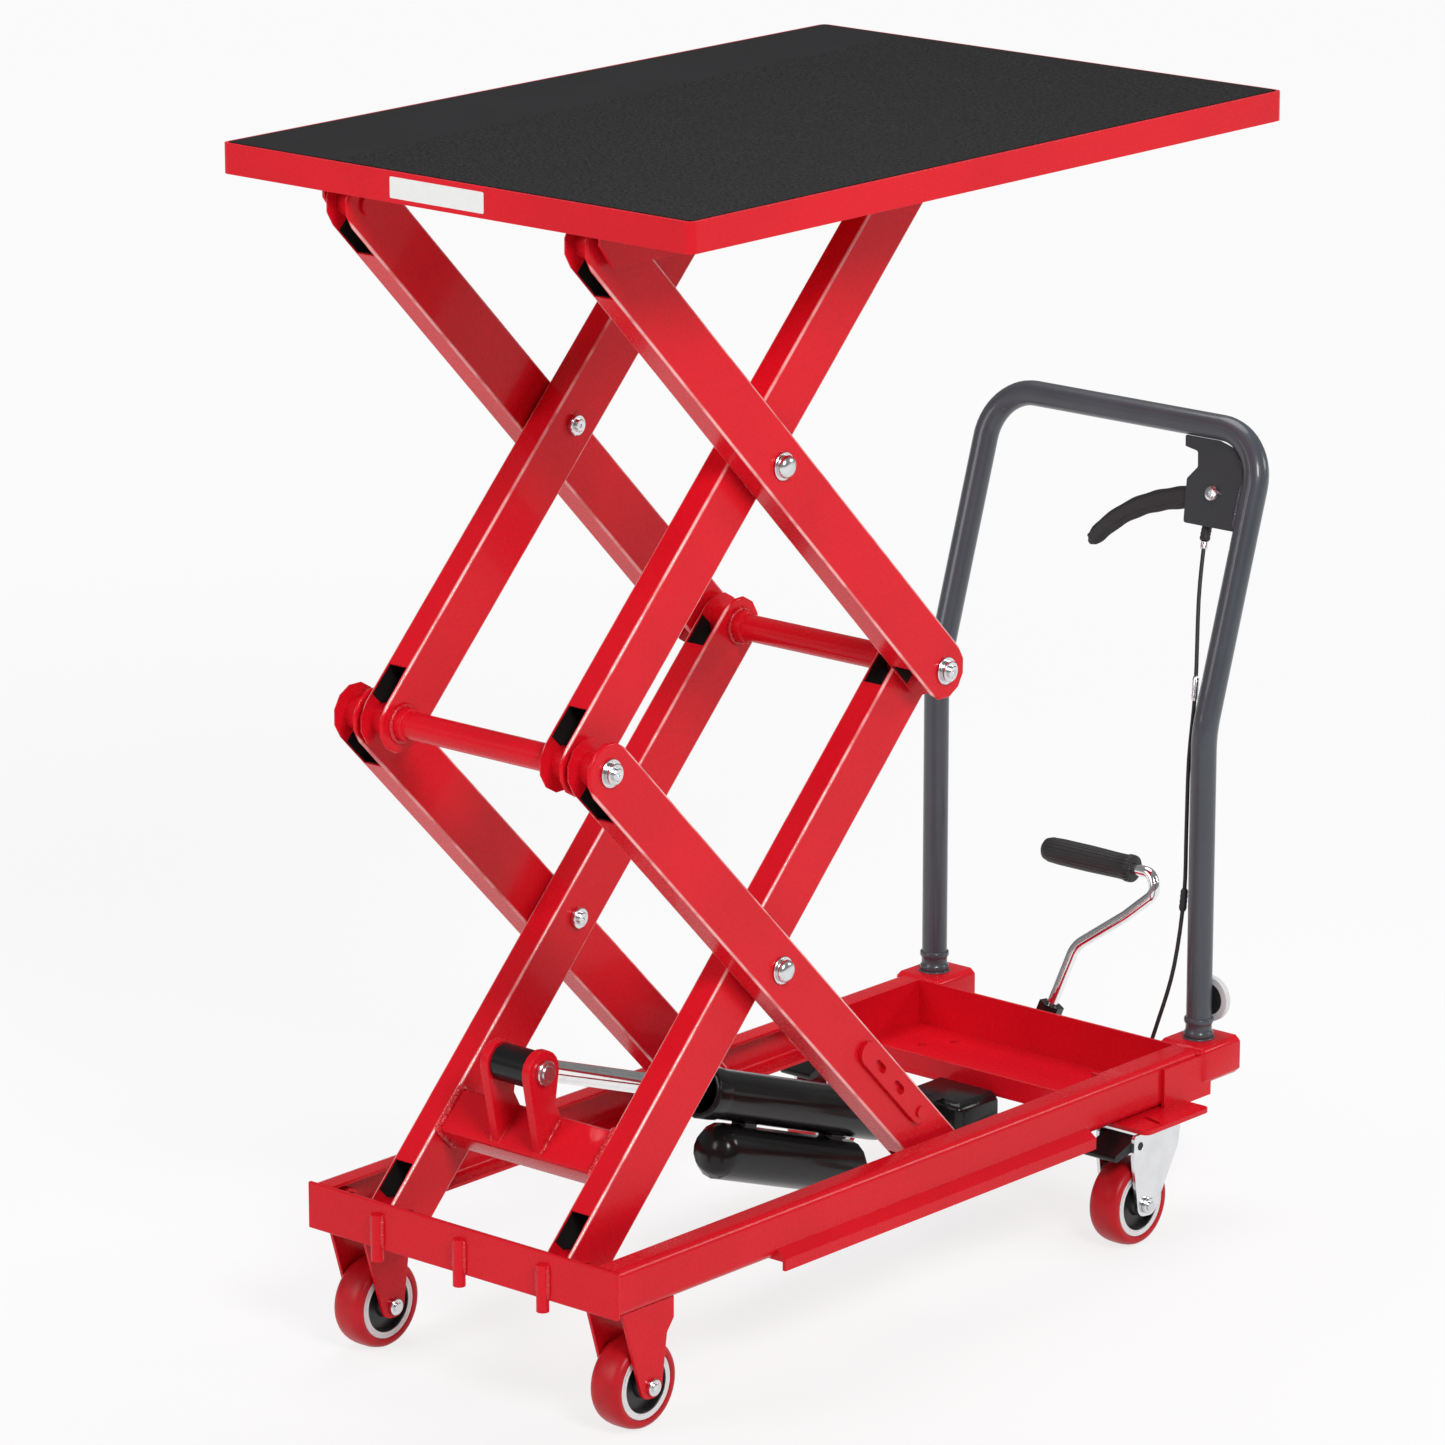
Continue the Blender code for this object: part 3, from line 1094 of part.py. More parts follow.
def foot_pedal(carrier):
    """Pedal arm under the tray, hex socket behind it, bent rod and rubber grip."""
    pin = PEDAL_PIVOT
    half = PEDAL_DEPTH / 2.0
    rear = pin.y + PEDAL_REACH
    outline = rounded([((pin.y - half, pin.z - half), half * 0.95), ((rear, pin.z - half), 0.010),
                       ((rear, pin.z + PEDAL_RISE), 0.004), ((rear - 0.024, pin.z + PEDAL_RISE), 0.004),
                       ((rear - 0.024, pin.z + half), 0.008), ((pin.y - half, pin.z + half), half * 0.95)])
    hole = circle(clear_of(PEDAL_PIN_RADIUS), (pin.y, pin.z))
    lever = plate([outline, hole], PEDAL_WALL, SIDE_VIEW, PEDAL_X)
    socket_foot = Vector((PEDAL_X, rear - 0.012, pin.z + PEDAL_RISE - 0.008))
    first_bend = socket_foot + Vector((0.0285, 0.021, 0.097))
    heading = (first_bend - socket_foot).normalized()
    socket_top = socket_foot + heading * SOCKET_LENGTH
    socket = rod(SOCKET_RADIUS, socket_foot, socket_top, 6)
    rod_foot = socket_foot + heading * (SOCKET_LENGTH * 0.35)
    socket_bore = rod(clear_of(PEDAL_ROD_RADIUS), rod_foot - heading * SEAT, socket_top + heading * 0.02,
                      PIN_SIDES)
    node("pedal_arm", cut(fused(lever, socket), socket_bore), BLACK, carrier)
    grip_z = socket_foot.z + 0.1875
    grip_y = socket_foot.y + 0.050
    grip_end = PEDAL_X + 0.0845
    route = rounded([(rod_foot, 0.0), (first_bend, 0.035), (first_bend + Vector((0.055, 0.016, 0.041)), 0.050),
                     ((grip_end + 0.034, grip_y - 0.004, grip_z - 0.018), 0.015),
                     ((grip_end + 0.022, grip_y, grip_z), 0.012),
                     ((grip_end - 0.030, grip_y, grip_z), 0.0)], closed=False, steps=4)
    node("pedal_rod", swept(route, PEDAL_ROD_RADIUS, 2), CHROME, carrier)
    bore = clear_of(PEDAL_ROD_RADIUS, CROSS_TUBE_SIDES)
    depth = 0.030 + SEAT
    ribs = []
    pitch = GRIP_LENGTH / GRIP_RIBS
    for i in range(GRIP_RIBS):
        ribs += [(GRIP_RADIUS - 0.0012, pitch * i), (GRIP_RADIUS, pitch * (i + 0.5))]
    profile = [(0.0, depth), (bore, depth), (bore, 0.0), *ribs, (GRIP_RADIUS - 0.0012, GRIP_LENGTH),
               (0.0, GRIP_LENGTH)]
    start = Vector((grip_end, grip_y, grip_z))
    node("pedal_grip", turned(profile, start, start - Vector((1.0, 0.0, 0.0)), CROSS_TUBE_SIDES), RUBBER, carrier)


def pump_plunger(carrier):
    top = PEDAL_PIVOT.z - PEDAL_DEPTH / 2.0 - SEAT
    y = PEDAL_PIVOT.y + PLUNGER_OFFSET
    node("pump_plunger", rod(PLUNGER_RADIUS, (PEDAL_X, y, top - PLUNGER_LENGTH), (PEDAL_X, y, top)), ZINC, carrier)


# Handle


def handle_tube():
    """Inverted U, upright to the kink and leaning back above it, with ribbed feet."""
    foot = BASE_TOP + SOCKET_BLOCK_PROUD - SOCKET_DEPTH + SEAT
    rib = BASE_TOP + SOCKET_BLOCK_PROUD + 0.001
    ribs = [(rib, 1.0), (rib + 0.001, RIB_SWELL), (rib + 0.006, RIB_SWELL), (rib + 0.008, 1.03),
            (rib + 0.014, 1.03),
            (rib + 0.016, RIB_SWELL), (rib + 0.021, RIB_SWELL), (rib + 0.022, 1.0)]
    top_y = POST_Y + HANDLE_LEAN
    right = [((POST_X, POST_Y, rib + 0.030), 0.0), ((POST_X, POST_Y, KINK_Z), HANDLE_KINK_BEND),
             ((POST_X, top_y, HANDLE_TOP_Z), HANDLE_CORNER_BEND)]
    left = [((-x, y, z), bend) for (x, y, z), bend in reversed(right)]
    bends = rounded(right + left, closed=False, steps=6)
    feet = [((POST_X, POST_Y, z), width) for z, width in [(foot, 1.0), *ribs]]
    ends = [((-x, y, z), width) for (x, y, z), width in reversed(feet)]
    route = [spot for spot, _ in feet] + bends + [spot for spot, _ in ends]
    widths = [width for _, width in feet] + [1.0] * len(bends) + [width for _, width in ends]
    node("handle_tube", swept(route, HANDLE_TUBE_RADIUS, HANDLE_SIDES // 2 - 2, widths), SLATE)


def lever_bracket():
    """Gusset in the handle's right corner, with the lever's bolt through it."""
    edge = POST_X - HANDLE_TUBE_RADIUS - SEAT
    top = LEAN_LENGTH - HANDLE_TUBE_RADIUS - SEAT
    bottom = LEAN_LENGTH - BRACKET_BOTTOM_DROP
    left = edge - BRACKET_WIDTH
    bend = HANDLE_CORNER_BEND - HANDLE_TUBE_RADIUS - SEAT
    outline = rounded([((edge, bottom), 0.003), ((edge, top), bend), ((left, top), 0.002),
                       ((left + 0.003, top - 0.012), 0.0),
                       ((left + 0.020, top - 0.015), 0.003), ((left + 0.024, top - 0.031), 0.003),
                       ((left + 0.013, top - 0.045), 0.003), ((left + 0.020, bottom), 0.003)])
    body = plate([outline], BRACKET_WALL, LEAN_VIEW)
    spot = lever_spot()
    half = BRACKET_WALL / 2.0
    back = -half - SIDE_PLAY - LEVER_WALL - SIDE_PLAY
    shank = rod(LEVER_BOLT_RADIUS, (*spot, back - 0.001), (*spot, half + 0.001))
    head = rod(0.0075, (*spot, half - 0.001), (*spot, half + 0.0045), 12)
    nut = rod(0.0075, (*spot, back - 0.005), (*spot, back), 6)
    bolts = [placed(mesh, LEAN_VIEW) for mesh in (shank, head, nut)]
    node("lever_bracket", fused(body, *bolts), SLATE)


def lever_spot():
    return (POST_X - LEVER_PIVOT_X, LEAN_LENGTH - LEVER_PIVOT_DROP)


def release_lever():
    """Curved brake-style lever with finger scallops, behind the gusset."""
    spot = lever_spot()
    count = 16
    upper = []
    lower = []
    for i in range(count + 1):
        share = i / count
        reach = -0.006 + (LEVER_LENGTH + 0.006) * share
        drop = 0.20 * max(reach, 0.0) + 82.0 * max(reach, 0.0) ** 4
        half = LEVER_HALF_DEPTH + 0.0045 * max(0.0, 1.0 - share * 4.0) - 0.002 * share
        scallop = 0.0016 * abs(math.sin(math.pi * 6.0 * share)) if 0.25 < share < 0.92 else 0.0
        x = spot[0] - reach
        w = spot[1] - drop
        slope = 0.20 + 328.0 * max(reach, 0.0) ** 3
        tilt = math.atan(slope)
        upper.append((x - half * math.sin(tilt), w + half * math.cos(tilt)))
        lower.append((x + (half - scallop) * math.sin(tilt), w - (half - scallop) * math.cos(tilt)))
    outline = lower + upper[::-1]
    hole = circle(clear_of(LEVER_BOLT_RADIUS), spot)
    offset = -BRACKET_WALL / 2.0 - SIDE_PLAY - LEVER_WALL / 2.0
    carrier = pivot("release_lever_hinge", LEAN_VIEW @ Vector((*spot, offset)))
    node("release_lever", plate([outline, hole], LEVER_WALL, LEAN_VIEW, offset), BLACK, carrier)


def release_cable():
    """Sheathed cable from the lever to the pump, strapped to the right post on its way."""
    start = LEAN_VIEW @ Vector((0.1245, LEAN_LENGTH - BRACKET_BOTTOM_DROP - SEAT, 0.0))
    spots = [start, start + Vector((0.0006, -0.0058, -0.019)), (0.137, 0.950, 0.640), (0.156, 0.922, 0.553),
             (0.1605, 0.907, 0.480), (0.1605, 0.905, 0.404), (0.1590, 0.905, 0.333), (0.150, 0.902, 0.255),
             (0.135, 0.897, 0.195), (0.116, 0.892, 0.140), (0.098, 0.868, 0.106), (0.084, 0.810, 0.098),
             (0.074, 0.745, 0.102), (PUMP_RIGHT + 0.014, 0.722, 0.104),
             (PUMP_RIGHT + 2.0 * SEAT, 0.722, 0.104)]
    per_span = 3
    route = smooth_route(spots, per_span)
    widths = [1.0] * len(route)
    for i in range(per_span + 1):
        widths[i] = 3.0 if i < per_span else 1.8
    ferrule = 3 * per_span
    widths[ferrule] = 1.9
    widths[ferrule + 1] = 1.9
    clip = 6 * per_span
    widths[clip] = 2.0
    widths[clip + 1] = 2.0
    node("release_cable", swept(route, CABLE_RADIUS, 1, widths), RUBBER)


def bumper_disc():
    """Round rubber bumper with a pale rim, on the back of the right post."""
    flat = math.cos(math.pi / HANDLE_SIDES)
    front = POST_Y + HANDLE_TUBE_RADIUS * RIB_SWELL * flat + SEAT
    z = BASE_BOTTOM + DISC_RISE
    profile = [(0.0, DISC_WALL), (DISC_RADIUS * 0.62, DISC_WALL), (DISC_RADIUS * 0.72, DISC_WALL * 0.72),
               (DISC_RADIUS * 0.92, DISC_WALL * 0.72), (DISC_RADIUS, DISC_WALL * 0.45), (DISC_RADIUS, 0.0),
               (0.0, 0.0)]
    node("bumper_disc", turned(profile, (POST_X, front, z), (POST_X, front + 1.0, z), ROUND_SIDES), RUBBER)


def scissor_pivots():
    """Empties on the scissor's hinge axes, each carried by the frame below it."""
    half_run = ARM_RUN / 2.0
    spots = (("lower_inner", (0.0, 0.0, PIVOT_Z)), ("lower_outer", (0.0, half_run, PIVOT_Z + ARM_RISE / 2.0)),
             ("upper_inner", (0.0, 0.0, MIDDLE_Z)), ("upper_outer", (0.0, half_run, MIDDLE_Z + ARM_RISE / 2.0)),
             ("table", (0.0, 0.0, TOP_PIVOT_Z)))
    made = {}
    below = None
    for name, spot in spots:
        made[name] = pivot(name + "_hinge", spot)
        if below:
            made[name].parent = below
            made[name].matrix_parent_inverse = below.matrix_world.inverted()
            bpy.context.view_layer.update()
        below = made[name]
    return made


def main():
    front_beam()
    for label, side in SIDES:
        side_rail(label, side)
    rear_tray()
    front_pivot_shaft()
    front_casters()
    rear_casters()
    hinges = scissor_pivots()
    lower_inner_frame(hinges["lower_inner"])
    lower_outer_frame(hinges["lower_outer"])
    safety_bar(hinges["lower_outer"])
    upper_inner_frame(hinges["upper_inner"])
    upper_outer_frame(hinges["upper_outer"])
    table(hinges["table"])
    ram(pivot("ram_hinge", RAM_PIVOT), pivot("rod_hinge", clevis_spot()))
    pump_block()
    pedal = pivot("pedal_hinge", PEDAL_PIVOT)
    foot_pedal(pedal)
    pump_plunger(pivot("plunger_slide", (PEDAL_X, PEDAL_PIVOT.y + PLUNGER_OFFSET, PEDAL_PIVOT.z)))
    handle_tube()
    lever_bracket()
    release_lever()
    release_cable()
    bumper_disc()


clear_scene()
PARTS = add_collection("scissor_lift_table")
CUTTERS = add_collection("cutters")
main()
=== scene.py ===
"""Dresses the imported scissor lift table: rounded edges, enamel, rubber, bolts, welds and cable."""

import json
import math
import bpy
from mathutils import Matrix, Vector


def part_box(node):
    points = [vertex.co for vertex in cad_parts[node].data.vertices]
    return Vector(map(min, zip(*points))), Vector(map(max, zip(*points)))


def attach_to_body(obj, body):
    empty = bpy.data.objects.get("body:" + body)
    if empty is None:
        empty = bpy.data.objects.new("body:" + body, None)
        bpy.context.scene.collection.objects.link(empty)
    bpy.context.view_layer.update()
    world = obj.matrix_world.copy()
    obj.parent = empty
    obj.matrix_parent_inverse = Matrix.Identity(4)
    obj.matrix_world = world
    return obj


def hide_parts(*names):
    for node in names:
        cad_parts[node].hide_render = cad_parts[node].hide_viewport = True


bl_info = {
    "name": "Lift table dresser",
    "version": (1, 0, 0),
    "blender": (4, 5, 0),
    "location": "View3D > Sidebar > Lift table",
    "description": "Finishes a scissor lift table around its fixed frame",
    "category": "Object",
}

import bpy
from mathutils import Vector

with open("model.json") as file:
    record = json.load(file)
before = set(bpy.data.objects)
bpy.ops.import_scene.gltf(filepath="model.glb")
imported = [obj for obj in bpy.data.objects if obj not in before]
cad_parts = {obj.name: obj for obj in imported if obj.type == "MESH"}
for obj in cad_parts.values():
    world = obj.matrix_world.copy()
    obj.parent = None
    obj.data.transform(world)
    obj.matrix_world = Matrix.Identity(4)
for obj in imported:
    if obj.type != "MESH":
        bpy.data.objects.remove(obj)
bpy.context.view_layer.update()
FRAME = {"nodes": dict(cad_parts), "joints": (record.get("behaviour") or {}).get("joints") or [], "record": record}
NODES = FRAME["nodes"]
JOINTS = {joint["name"]: joint for joint in FRAME["joints"]}
RECORD = FRAME["record"]
BODY_OF = {node: body for body, members in RECORD["behaviour"]["bodies"].items() for node in members}
SLOT_OF = {part["node"]: part["material_slot"] for part in RECORD["subparts"]}
SIDES = (("left", -1.0), ("right", 1.0))
ALONG_X = Vector((1.0, 0.0, 0.0))
ALONG_Y = Vector((0.0, 1.0, 0.0))
UP = Vector((0.0, 0.0, 1.0))


def joint_spot(name):
    return Vector(JOINTS[name]["pos_m"])


# The scissor's hinge lines, and the slope of its arms
LIFT = joint_spot("lift")
LOWER_CROSS = joint_spot("lower_cross")
MIDDLE = joint_spot("front_middle")
UPPER_CROSS = joint_spot("upper_cross")
TABLE_PIVOT = joint_spot("table_level")
SLOPE = math.atan2(LOWER_CROSS.z - LIFT.z, LOWER_CROSS.y - LIFT.y)
ARM_RUN = 2.0 * (LOWER_CROSS.y - LIFT.y)
ARM_SPAN = ARM_RUN / math.cos(SLOPE)
REAR_MIDDLE = MIDDLE + Vector((0.0, ARM_RUN, 0.0))

# Sizes shared with the solids
ARM_DEPTH = 0.060
ARM_WIDTH = 0.030
ARM_WALL = 0.003
INNER_ARM_X = 0.117
OUTER_ARM_X = 0.1525
OUTER_FACE = OUTER_ARM_X + ARM_WIDTH / 2.0
INNER_FACE = INNER_ARM_X - ARM_WIDTH / 2.0
SEAT = 0.0003
PIN_RADIUS = 0.008
HEAD_RADIUS = 0.0115
HEAD_HEIGHT = 0.0085
WASHER_RADIUS = 0.0140
WASHER_WALL = 0.0020
WHEEL_HALF = 0.018
WHEEL_RADIUS = 0.046
TUBE_RADIUS = 0.0135
POST_X = 0.1795
POST_Y = 0.420555
KINK_Z = 0.512
HANDLE_TOP_Z = 0.812
HANDLE_LEAN = 0.096
LEAN = math.atan2(HANDLE_LEAN, HANDLE_TOP_Z - KINK_Z)
LEAN_ALONG = Vector((0.0, math.sin(LEAN), math.cos(LEAN)))
LEAN_FRONT = Vector((0.0, -math.cos(LEAN), math.sin(LEAN)))
KINK = Vector((0.0, POST_Y, KINK_Z))
BASE_BOTTOM = 0.131
BASE_TOP = 0.179
TRAY_WALL = 0.002
BEAM_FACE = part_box("front_beam")[0].y + 0.0075

ARMS = {
    "lower_inner": (LIFT, SLOPE, INNER_ARM_X),
    "lower_outer": (MIDDLE, -SLOPE, OUTER_ARM_X),
    "upper_inner": (MIDDLE, SLOPE, INNER_ARM_X),
    "upper_outer": (TABLE_PIVOT, -SLOPE, OUTER_ARM_X),
}


def colour_setting(name, description, default):
    return bpy.props.FloatVectorProperty(
        name=name, description=description, default=default, subtype="COLOR", size=3)


def length_setting(name, description, default):
    return bpy.props.FloatProperty(name=name, description=description, default=default, unit="LENGTH")


def angle_setting(name, description, degrees):
    return bpy.props.FloatProperty(
        name=name, description=description, default=math.radians(degrees), subtype="ANGLE")


class LiftTablePaint(bpy.types.PropertyGroup):
    enamel: colour_setting("Enamel", "Red of the frame and arms", (0.71, 0.0065, 0.0170))
    tyre: colour_setting("Tyre", "Red of the wheels' treads", (0.53, 0.008, 0.0150))
    slate: colour_setting("Handle", "Grey of the push handle", (0.060, 0.068, 0.082))
    gloss_black: colour_setting("Gloss black", "Black of the pump and ram", (0.008, 0.008, 0.0085))
    rubber: colour_setting("Rubber", "Black of the mat and grip", (0.017, 0.017, 0.0190))
    zinc: colour_setting("Zinc", "Tint of the plated bolts and forks", (0.78, 0.79, 0.81))
    peel: bpy.props.FloatProperty(
        name="Orange peel", description="Relief of the sprayed enamel", default=0.09, min=0.0, max=1.0)


class LiftTableSizes(bpy.types.PropertyGroup):
    sheet_edge: length_setting("Sheet edge", "Rounding of sheet and plate edges", 0.0010)
    tube_edge: length_setting("Tube edge", "Rounding of the arms' long edges", 0.0027)
    weld_bead: length_setting("Weld bead", "Radius of a weld bead", 0.0031)
    round_steps: bpy.props.IntProperty(
        name="Round steps", description="Steps round a turned piece", default=48, min=12, max=96)
    pebble: bpy.props.FloatProperty(
        name="Pebbles", description="Pebbles of the mat in a metre", default=300.0, min=50.0)


class LiftTableStage(bpy.types.PropertyGroup):
    lens: bpy.props.FloatProperty(name="Lens", description="Focal length in millimetres", default=174.66)
    azimuth: angle_setting("Azimuth", "Turn of the camera from the front", 41.08)
    pitch: angle_setting("Pitch", "How far the camera looks down", 15.353)
    eye: bpy.props.FloatVectorProperty(
        name="Eye", description="Place of the camera", subtype="XYZ", size=3,
        default=(4.4126, -5.196355, 2.4496))
    floor: colour_setting("Floor", "Pale floor", (0.93, 0.93, 0.935))


def paint_settings():
    return bpy.context.scene.lift_table_paint


def size_settings():
    return bpy.context.scene.lift_table_sizes


# Hand work: selecting, copying, turning and bending


def lay_down():
    """Nothing selected, and no piece in edit mode."""
    if bpy.context.object and bpy.context.object.mode != "OBJECT":
        bpy.ops.object.mode_set(mode="OBJECT")
    bpy.ops.object.select_all(action="DESELECT")


def take_up(piece):
    lay_down()
    piece.select_set(True)
    bpy.context.view_layer.objects.active = piece


def named(name):
    piece = bpy.context.object
    piece.name = name
    piece.data.name = name
    return piece


def settle(piece):
    """The piece at the origin, unturned and unscaled, with its place in its mesh."""
    take_up(piece)
    bpy.ops.object.transform_apply(location=True, rotation=True, scale=True)


def smooth(piece, degrees=40.0):
    take_up(piece)
    bpy.ops.object.shade_smooth_by_angle(angle=math.radians(degrees))


def attach(piece, body, slot, finish, *stood_for):
    piece.data.materials.clear()
    piece.data.materials.append(finish)
    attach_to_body(piece, body)
    if stood_for:
        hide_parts(*stood_for)


def open_mesh(kind="VERT", action="SELECT"):
    """Into edit mode, with everything or nothing selected."""
    bpy.ops.object.mode_set(mode="EDIT")
    bpy.ops.mesh.select_mode(type=kind)
    bpy.ops.mesh.select_all(action=action)


def close_mesh():
    bpy.ops.object.mode_set(mode="OBJECT")


def close_seams():
    """Doubles merged and faces turned outwards, and back to object mode."""
    bpy.ops.mesh.select_all(action="SELECT")
    bpy.ops.mesh.remove_doubles(threshold=0.000005)
    bpy.ops.mesh.normals_make_consistent(inside=False)
    close_mesh()


def bevel_edges(piece, wanted, width, segments):
    """Rounds the edges whose two ends wanted picks."""
    take_up(piece)
    open_mesh("EDGE", "DESELECT")
    close_mesh()
    spots = [vertex.co for vertex in piece.data.vertices]
    for edge in piece.data.edges:
        edge.select = wanted(*(spots[i] for i in edge.vertices))
    bpy.ops.object.mode_set(mode="EDIT")
    bpy.ops.mesh.bevel(offset=width, segments=segments, affect="EDGES", clamp_overlap=True)
    close_mesh()


def merged_copy(node):
    """A copy of a solid with its triangles merged and its flat faces whole."""
    piece = bpy.data.objects.new("finished_" + node, NODES[node].data.copy())
    bpy.context.scene.collection.objects.link(piece)
    take_up(piece)
    bpy.ops.mesh.customdata_custom_splitnormals_clear()
    open_mesh()
    bpy.ops.mesh.remove_doubles(threshold=0.00001)
    bpy.ops.mesh.mark_sharp(clear=True)
    bpy.ops.mesh.dissolve_limited(angle_limit=math.radians(0.6))
    close_mesh()
    return piece


def apply_modifier(piece, kind, **settings):
    take_up(piece)
    bpy.ops.object.modifier_add(type=kind)
    modifier = piece.modifiers[-1]
    for key, value in settings.items():
        setattr(modifier, key, value)
    bpy.ops.object.modifier_apply(modifier=modifier.name)


def soften(piece, width, segments=2, degrees=52.0):
    """Rounds the edges that are sharper than a facet of a round."""
    apply_modifier(piece, "BEVEL", width=width, segments=segments, limit_method="ANGLE",
                   angle_limit=math.radians(degrees), use_clamp_overlap=True)
    smooth(piece, degrees)
    flatten(piece)


def flatten(piece):
    """Broad flat faces keep their own normal, and only their rounded edges are smooth."""
    apply_modifier(piece, "WEIGHTED_NORMAL", keep_sharp=True)


def finished(nodes, finish, width=None, segments=2):
    """Copies of solids with rounded edges and a real finish, in the solids' places."""
    width = width or size_settings().sheet_edge
    for node in nodes:
        piece = merged_copy(node)
        soften(piece, width, segments)
        attach(piece, BODY_OF[node], SLOT_OF[node], finish, node)


def turned(name, profile, foot, axis=ALONG_X, side=UP, steps=None):
    """A piece spun from (radius, height) points about the axis that starts at foot."""
    steps = steps or size_settings().round_steps
    foot = Vector(foot)
    spots = [foot + axis * height + side * radius for radius, height in profile]
    lay_down()
    bpy.ops.mesh.primitive_plane_add(size=0.002, location=spots[0])
    piece = named(name)
    settle(piece)
    open_mesh()
    bpy.ops.mesh.merge(type="CENTER")
    for before, after in zip(spots, spots[1:]):
        bpy.ops.mesh.extrude_region_move(TRANSFORM_OT_translate={"value": after - before})
    bpy.ops.mesh.select_all(action="SELECT")
    bpy.ops.mesh.spin(steps=steps, angle=math.tau, center=foot, axis=axis)
    close_seams()
    if not piece.data.polygons:
        raise RuntimeError(name + " has no faces")
    smooth(piece)
    return piece


def raised(profile, height):
    return [(radius, lift + height) for radius, lift in profile]


def turned_over(profile):
    return [(radius, -height) for radius, height in reversed(profile)]


def both_halves(half):
    """The closed outline of a ring from the points of its upper half."""
    return [*half, *turned_over(half), half[0]]


def ring_of(centre, radius, first, second, count):
    """Spots of a circle in the plane of two directions, with the first spot again at the end."""
    turns = [math.tau * i / count for i in range(count + 1)]
    return [centre + (first * math.cos(turn) + second * math.sin(turn)) * radius for turn in turns]


def copied(piece, name, move):
    """A copy with its own mesh, moved to its place."""
    take_up(piece)
    bpy.ops.object.duplicate()
    twin = named(name)
    twin.location = move
    settle(twin)
    return twin


def bent(corners, steps=12):
    """Points of a route whose corners, given as (spot, bend radius), become arcs."""
    points = [Vector(corners[0][0])]
    for index in range(1, len(corners) - 1):
        spot = Vector(corners[index][0])
        bend = corners[index][1]
        back = (Vector(corners[index - 1][0]) - spot).normalized()
        ahead = (Vector(corners[index + 1][0]) - spot).normalized()
        half = back.angle(ahead) / 2.0
        middle = spot + (back + ahead).normalized() * (bend / math.sin(half))
        first = spot + back * (bend / math.tan(half)) - middle
        last = spot + ahead * (bend / math.tan(half)) - middle
        for i in range(steps + 1):
            points.append(middle + first.slerp(last, i / steps) * bend)
    points.append(Vector(corners[-1][0]))
    return points


def flowing(spots, per_span):
    """Points of a smooth line that passes through the spots."""
    spots = [Vector(spot) for spot in spots]
    ends = [spots[0] * 2.0 - spots[1], *spots, spots[-1] * 2.0 - spots[-2]]
    route = []
    for i in range(1, len(ends) - 2):
        a, b, c, d = ends[i - 1:i + 3]
        for j in range(per_span):
            t = j / per_span
            curved = 2.0 * b + (c - a) * t + (2.0 * a - 5.0 * b + 4.0 * c - d) * t * t
            route.append(0.5 * (curved + (3.0 * b - a - 3.0 * c + d) * t ** 3))
    route.append(spots[-1])
    return route


def drawn_curve(name, route, radius, resolution, widths=None, cyclic=False):
    lay_down()
    bpy.ops.curve.primitive_nurbs_path_add()
    piece = named(name)
    piece.location = (0.0, 0.0, 0.0)
    curve = piece.data
    curve.splines.clear()
    curve.dimensions = "3D"
    curve.bevel_depth = radius
    curve.bevel_resolution = resolution
    curve.use_fill_caps = not cyclic
    spline = curve.splines.new("POLY")
    spline.points.add(len(route) - 1)
    for index, spot in enumerate(route):
        spline.points[index].co = (*spot, 1.0)
        spline.points[index].radius = widths[index] if widths else 1.0
    spline.use_cyclic_u = cyclic
    return piece


def tube(name, route, radius, resolution=6, widths=None, cyclic=False):
    """A round bar along a route, as a closed mesh."""
    piece = drawn_curve(name, route, radius, resolution, widths, cyclic)
    take_up(piece)
    bpy.ops.object.convert(target="MESH")
    piece = bpy.context.object
    open_mesh()
    close_seams()
    smooth(piece, 50.0)
    return piece


def on_arm(arm, x, along, rise):
    """A spot given along an arm and across it, in the whole object's frame."""
    origin, slope, _ = ARMS[arm]
    return Vector((x, origin.y + along * math.cos(slope) - rise * math.sin(slope),
                   origin.z + along * math.sin(slope) + rise * math.cos(slope)))


# Finishes


class Shade:
    """A socket of a finish; sums and products of shades add Math nodes."""

    def __init__(self, finish, socket):
        self.finish = finish
        self.socket = socket

    def __add__(self, other):
        return self.finish.sum("ADD", self, other)

    def __radd__(self, other):
        return self.finish.sum("ADD", other, self)

    def __sub__(self, other):
        return self.finish.sum("SUBTRACT", self, other)

    def __rsub__(self, other):
        return self.finish.sum("SUBTRACT", other, self)

    def __mul__(self, other):
        return self.finish.sum("MULTIPLY", self, other)

    def __rmul__(self, other):
        return self.finish.sum("MULTIPLY", other, self)

    def __abs__(self):
        return self.finish.sum("ABSOLUTE", self)

    def __pow__(self, other):
        return self.finish.sum("POWER", self, other)

    def below(self, limit):
        return self.finish.sum("LESS_THAN", self, limit)

    def between(self, low, high):
        """0 below low, 1 above high and a smooth rise in between."""
        node = self.finish.add("ShaderNodeMapRange", {"interpolation_type": "SMOOTHSTEP"},
                               {"Value": self, "From Min": low, "From Max": high})
        return Shade(self.finish, node.outputs["Result"])


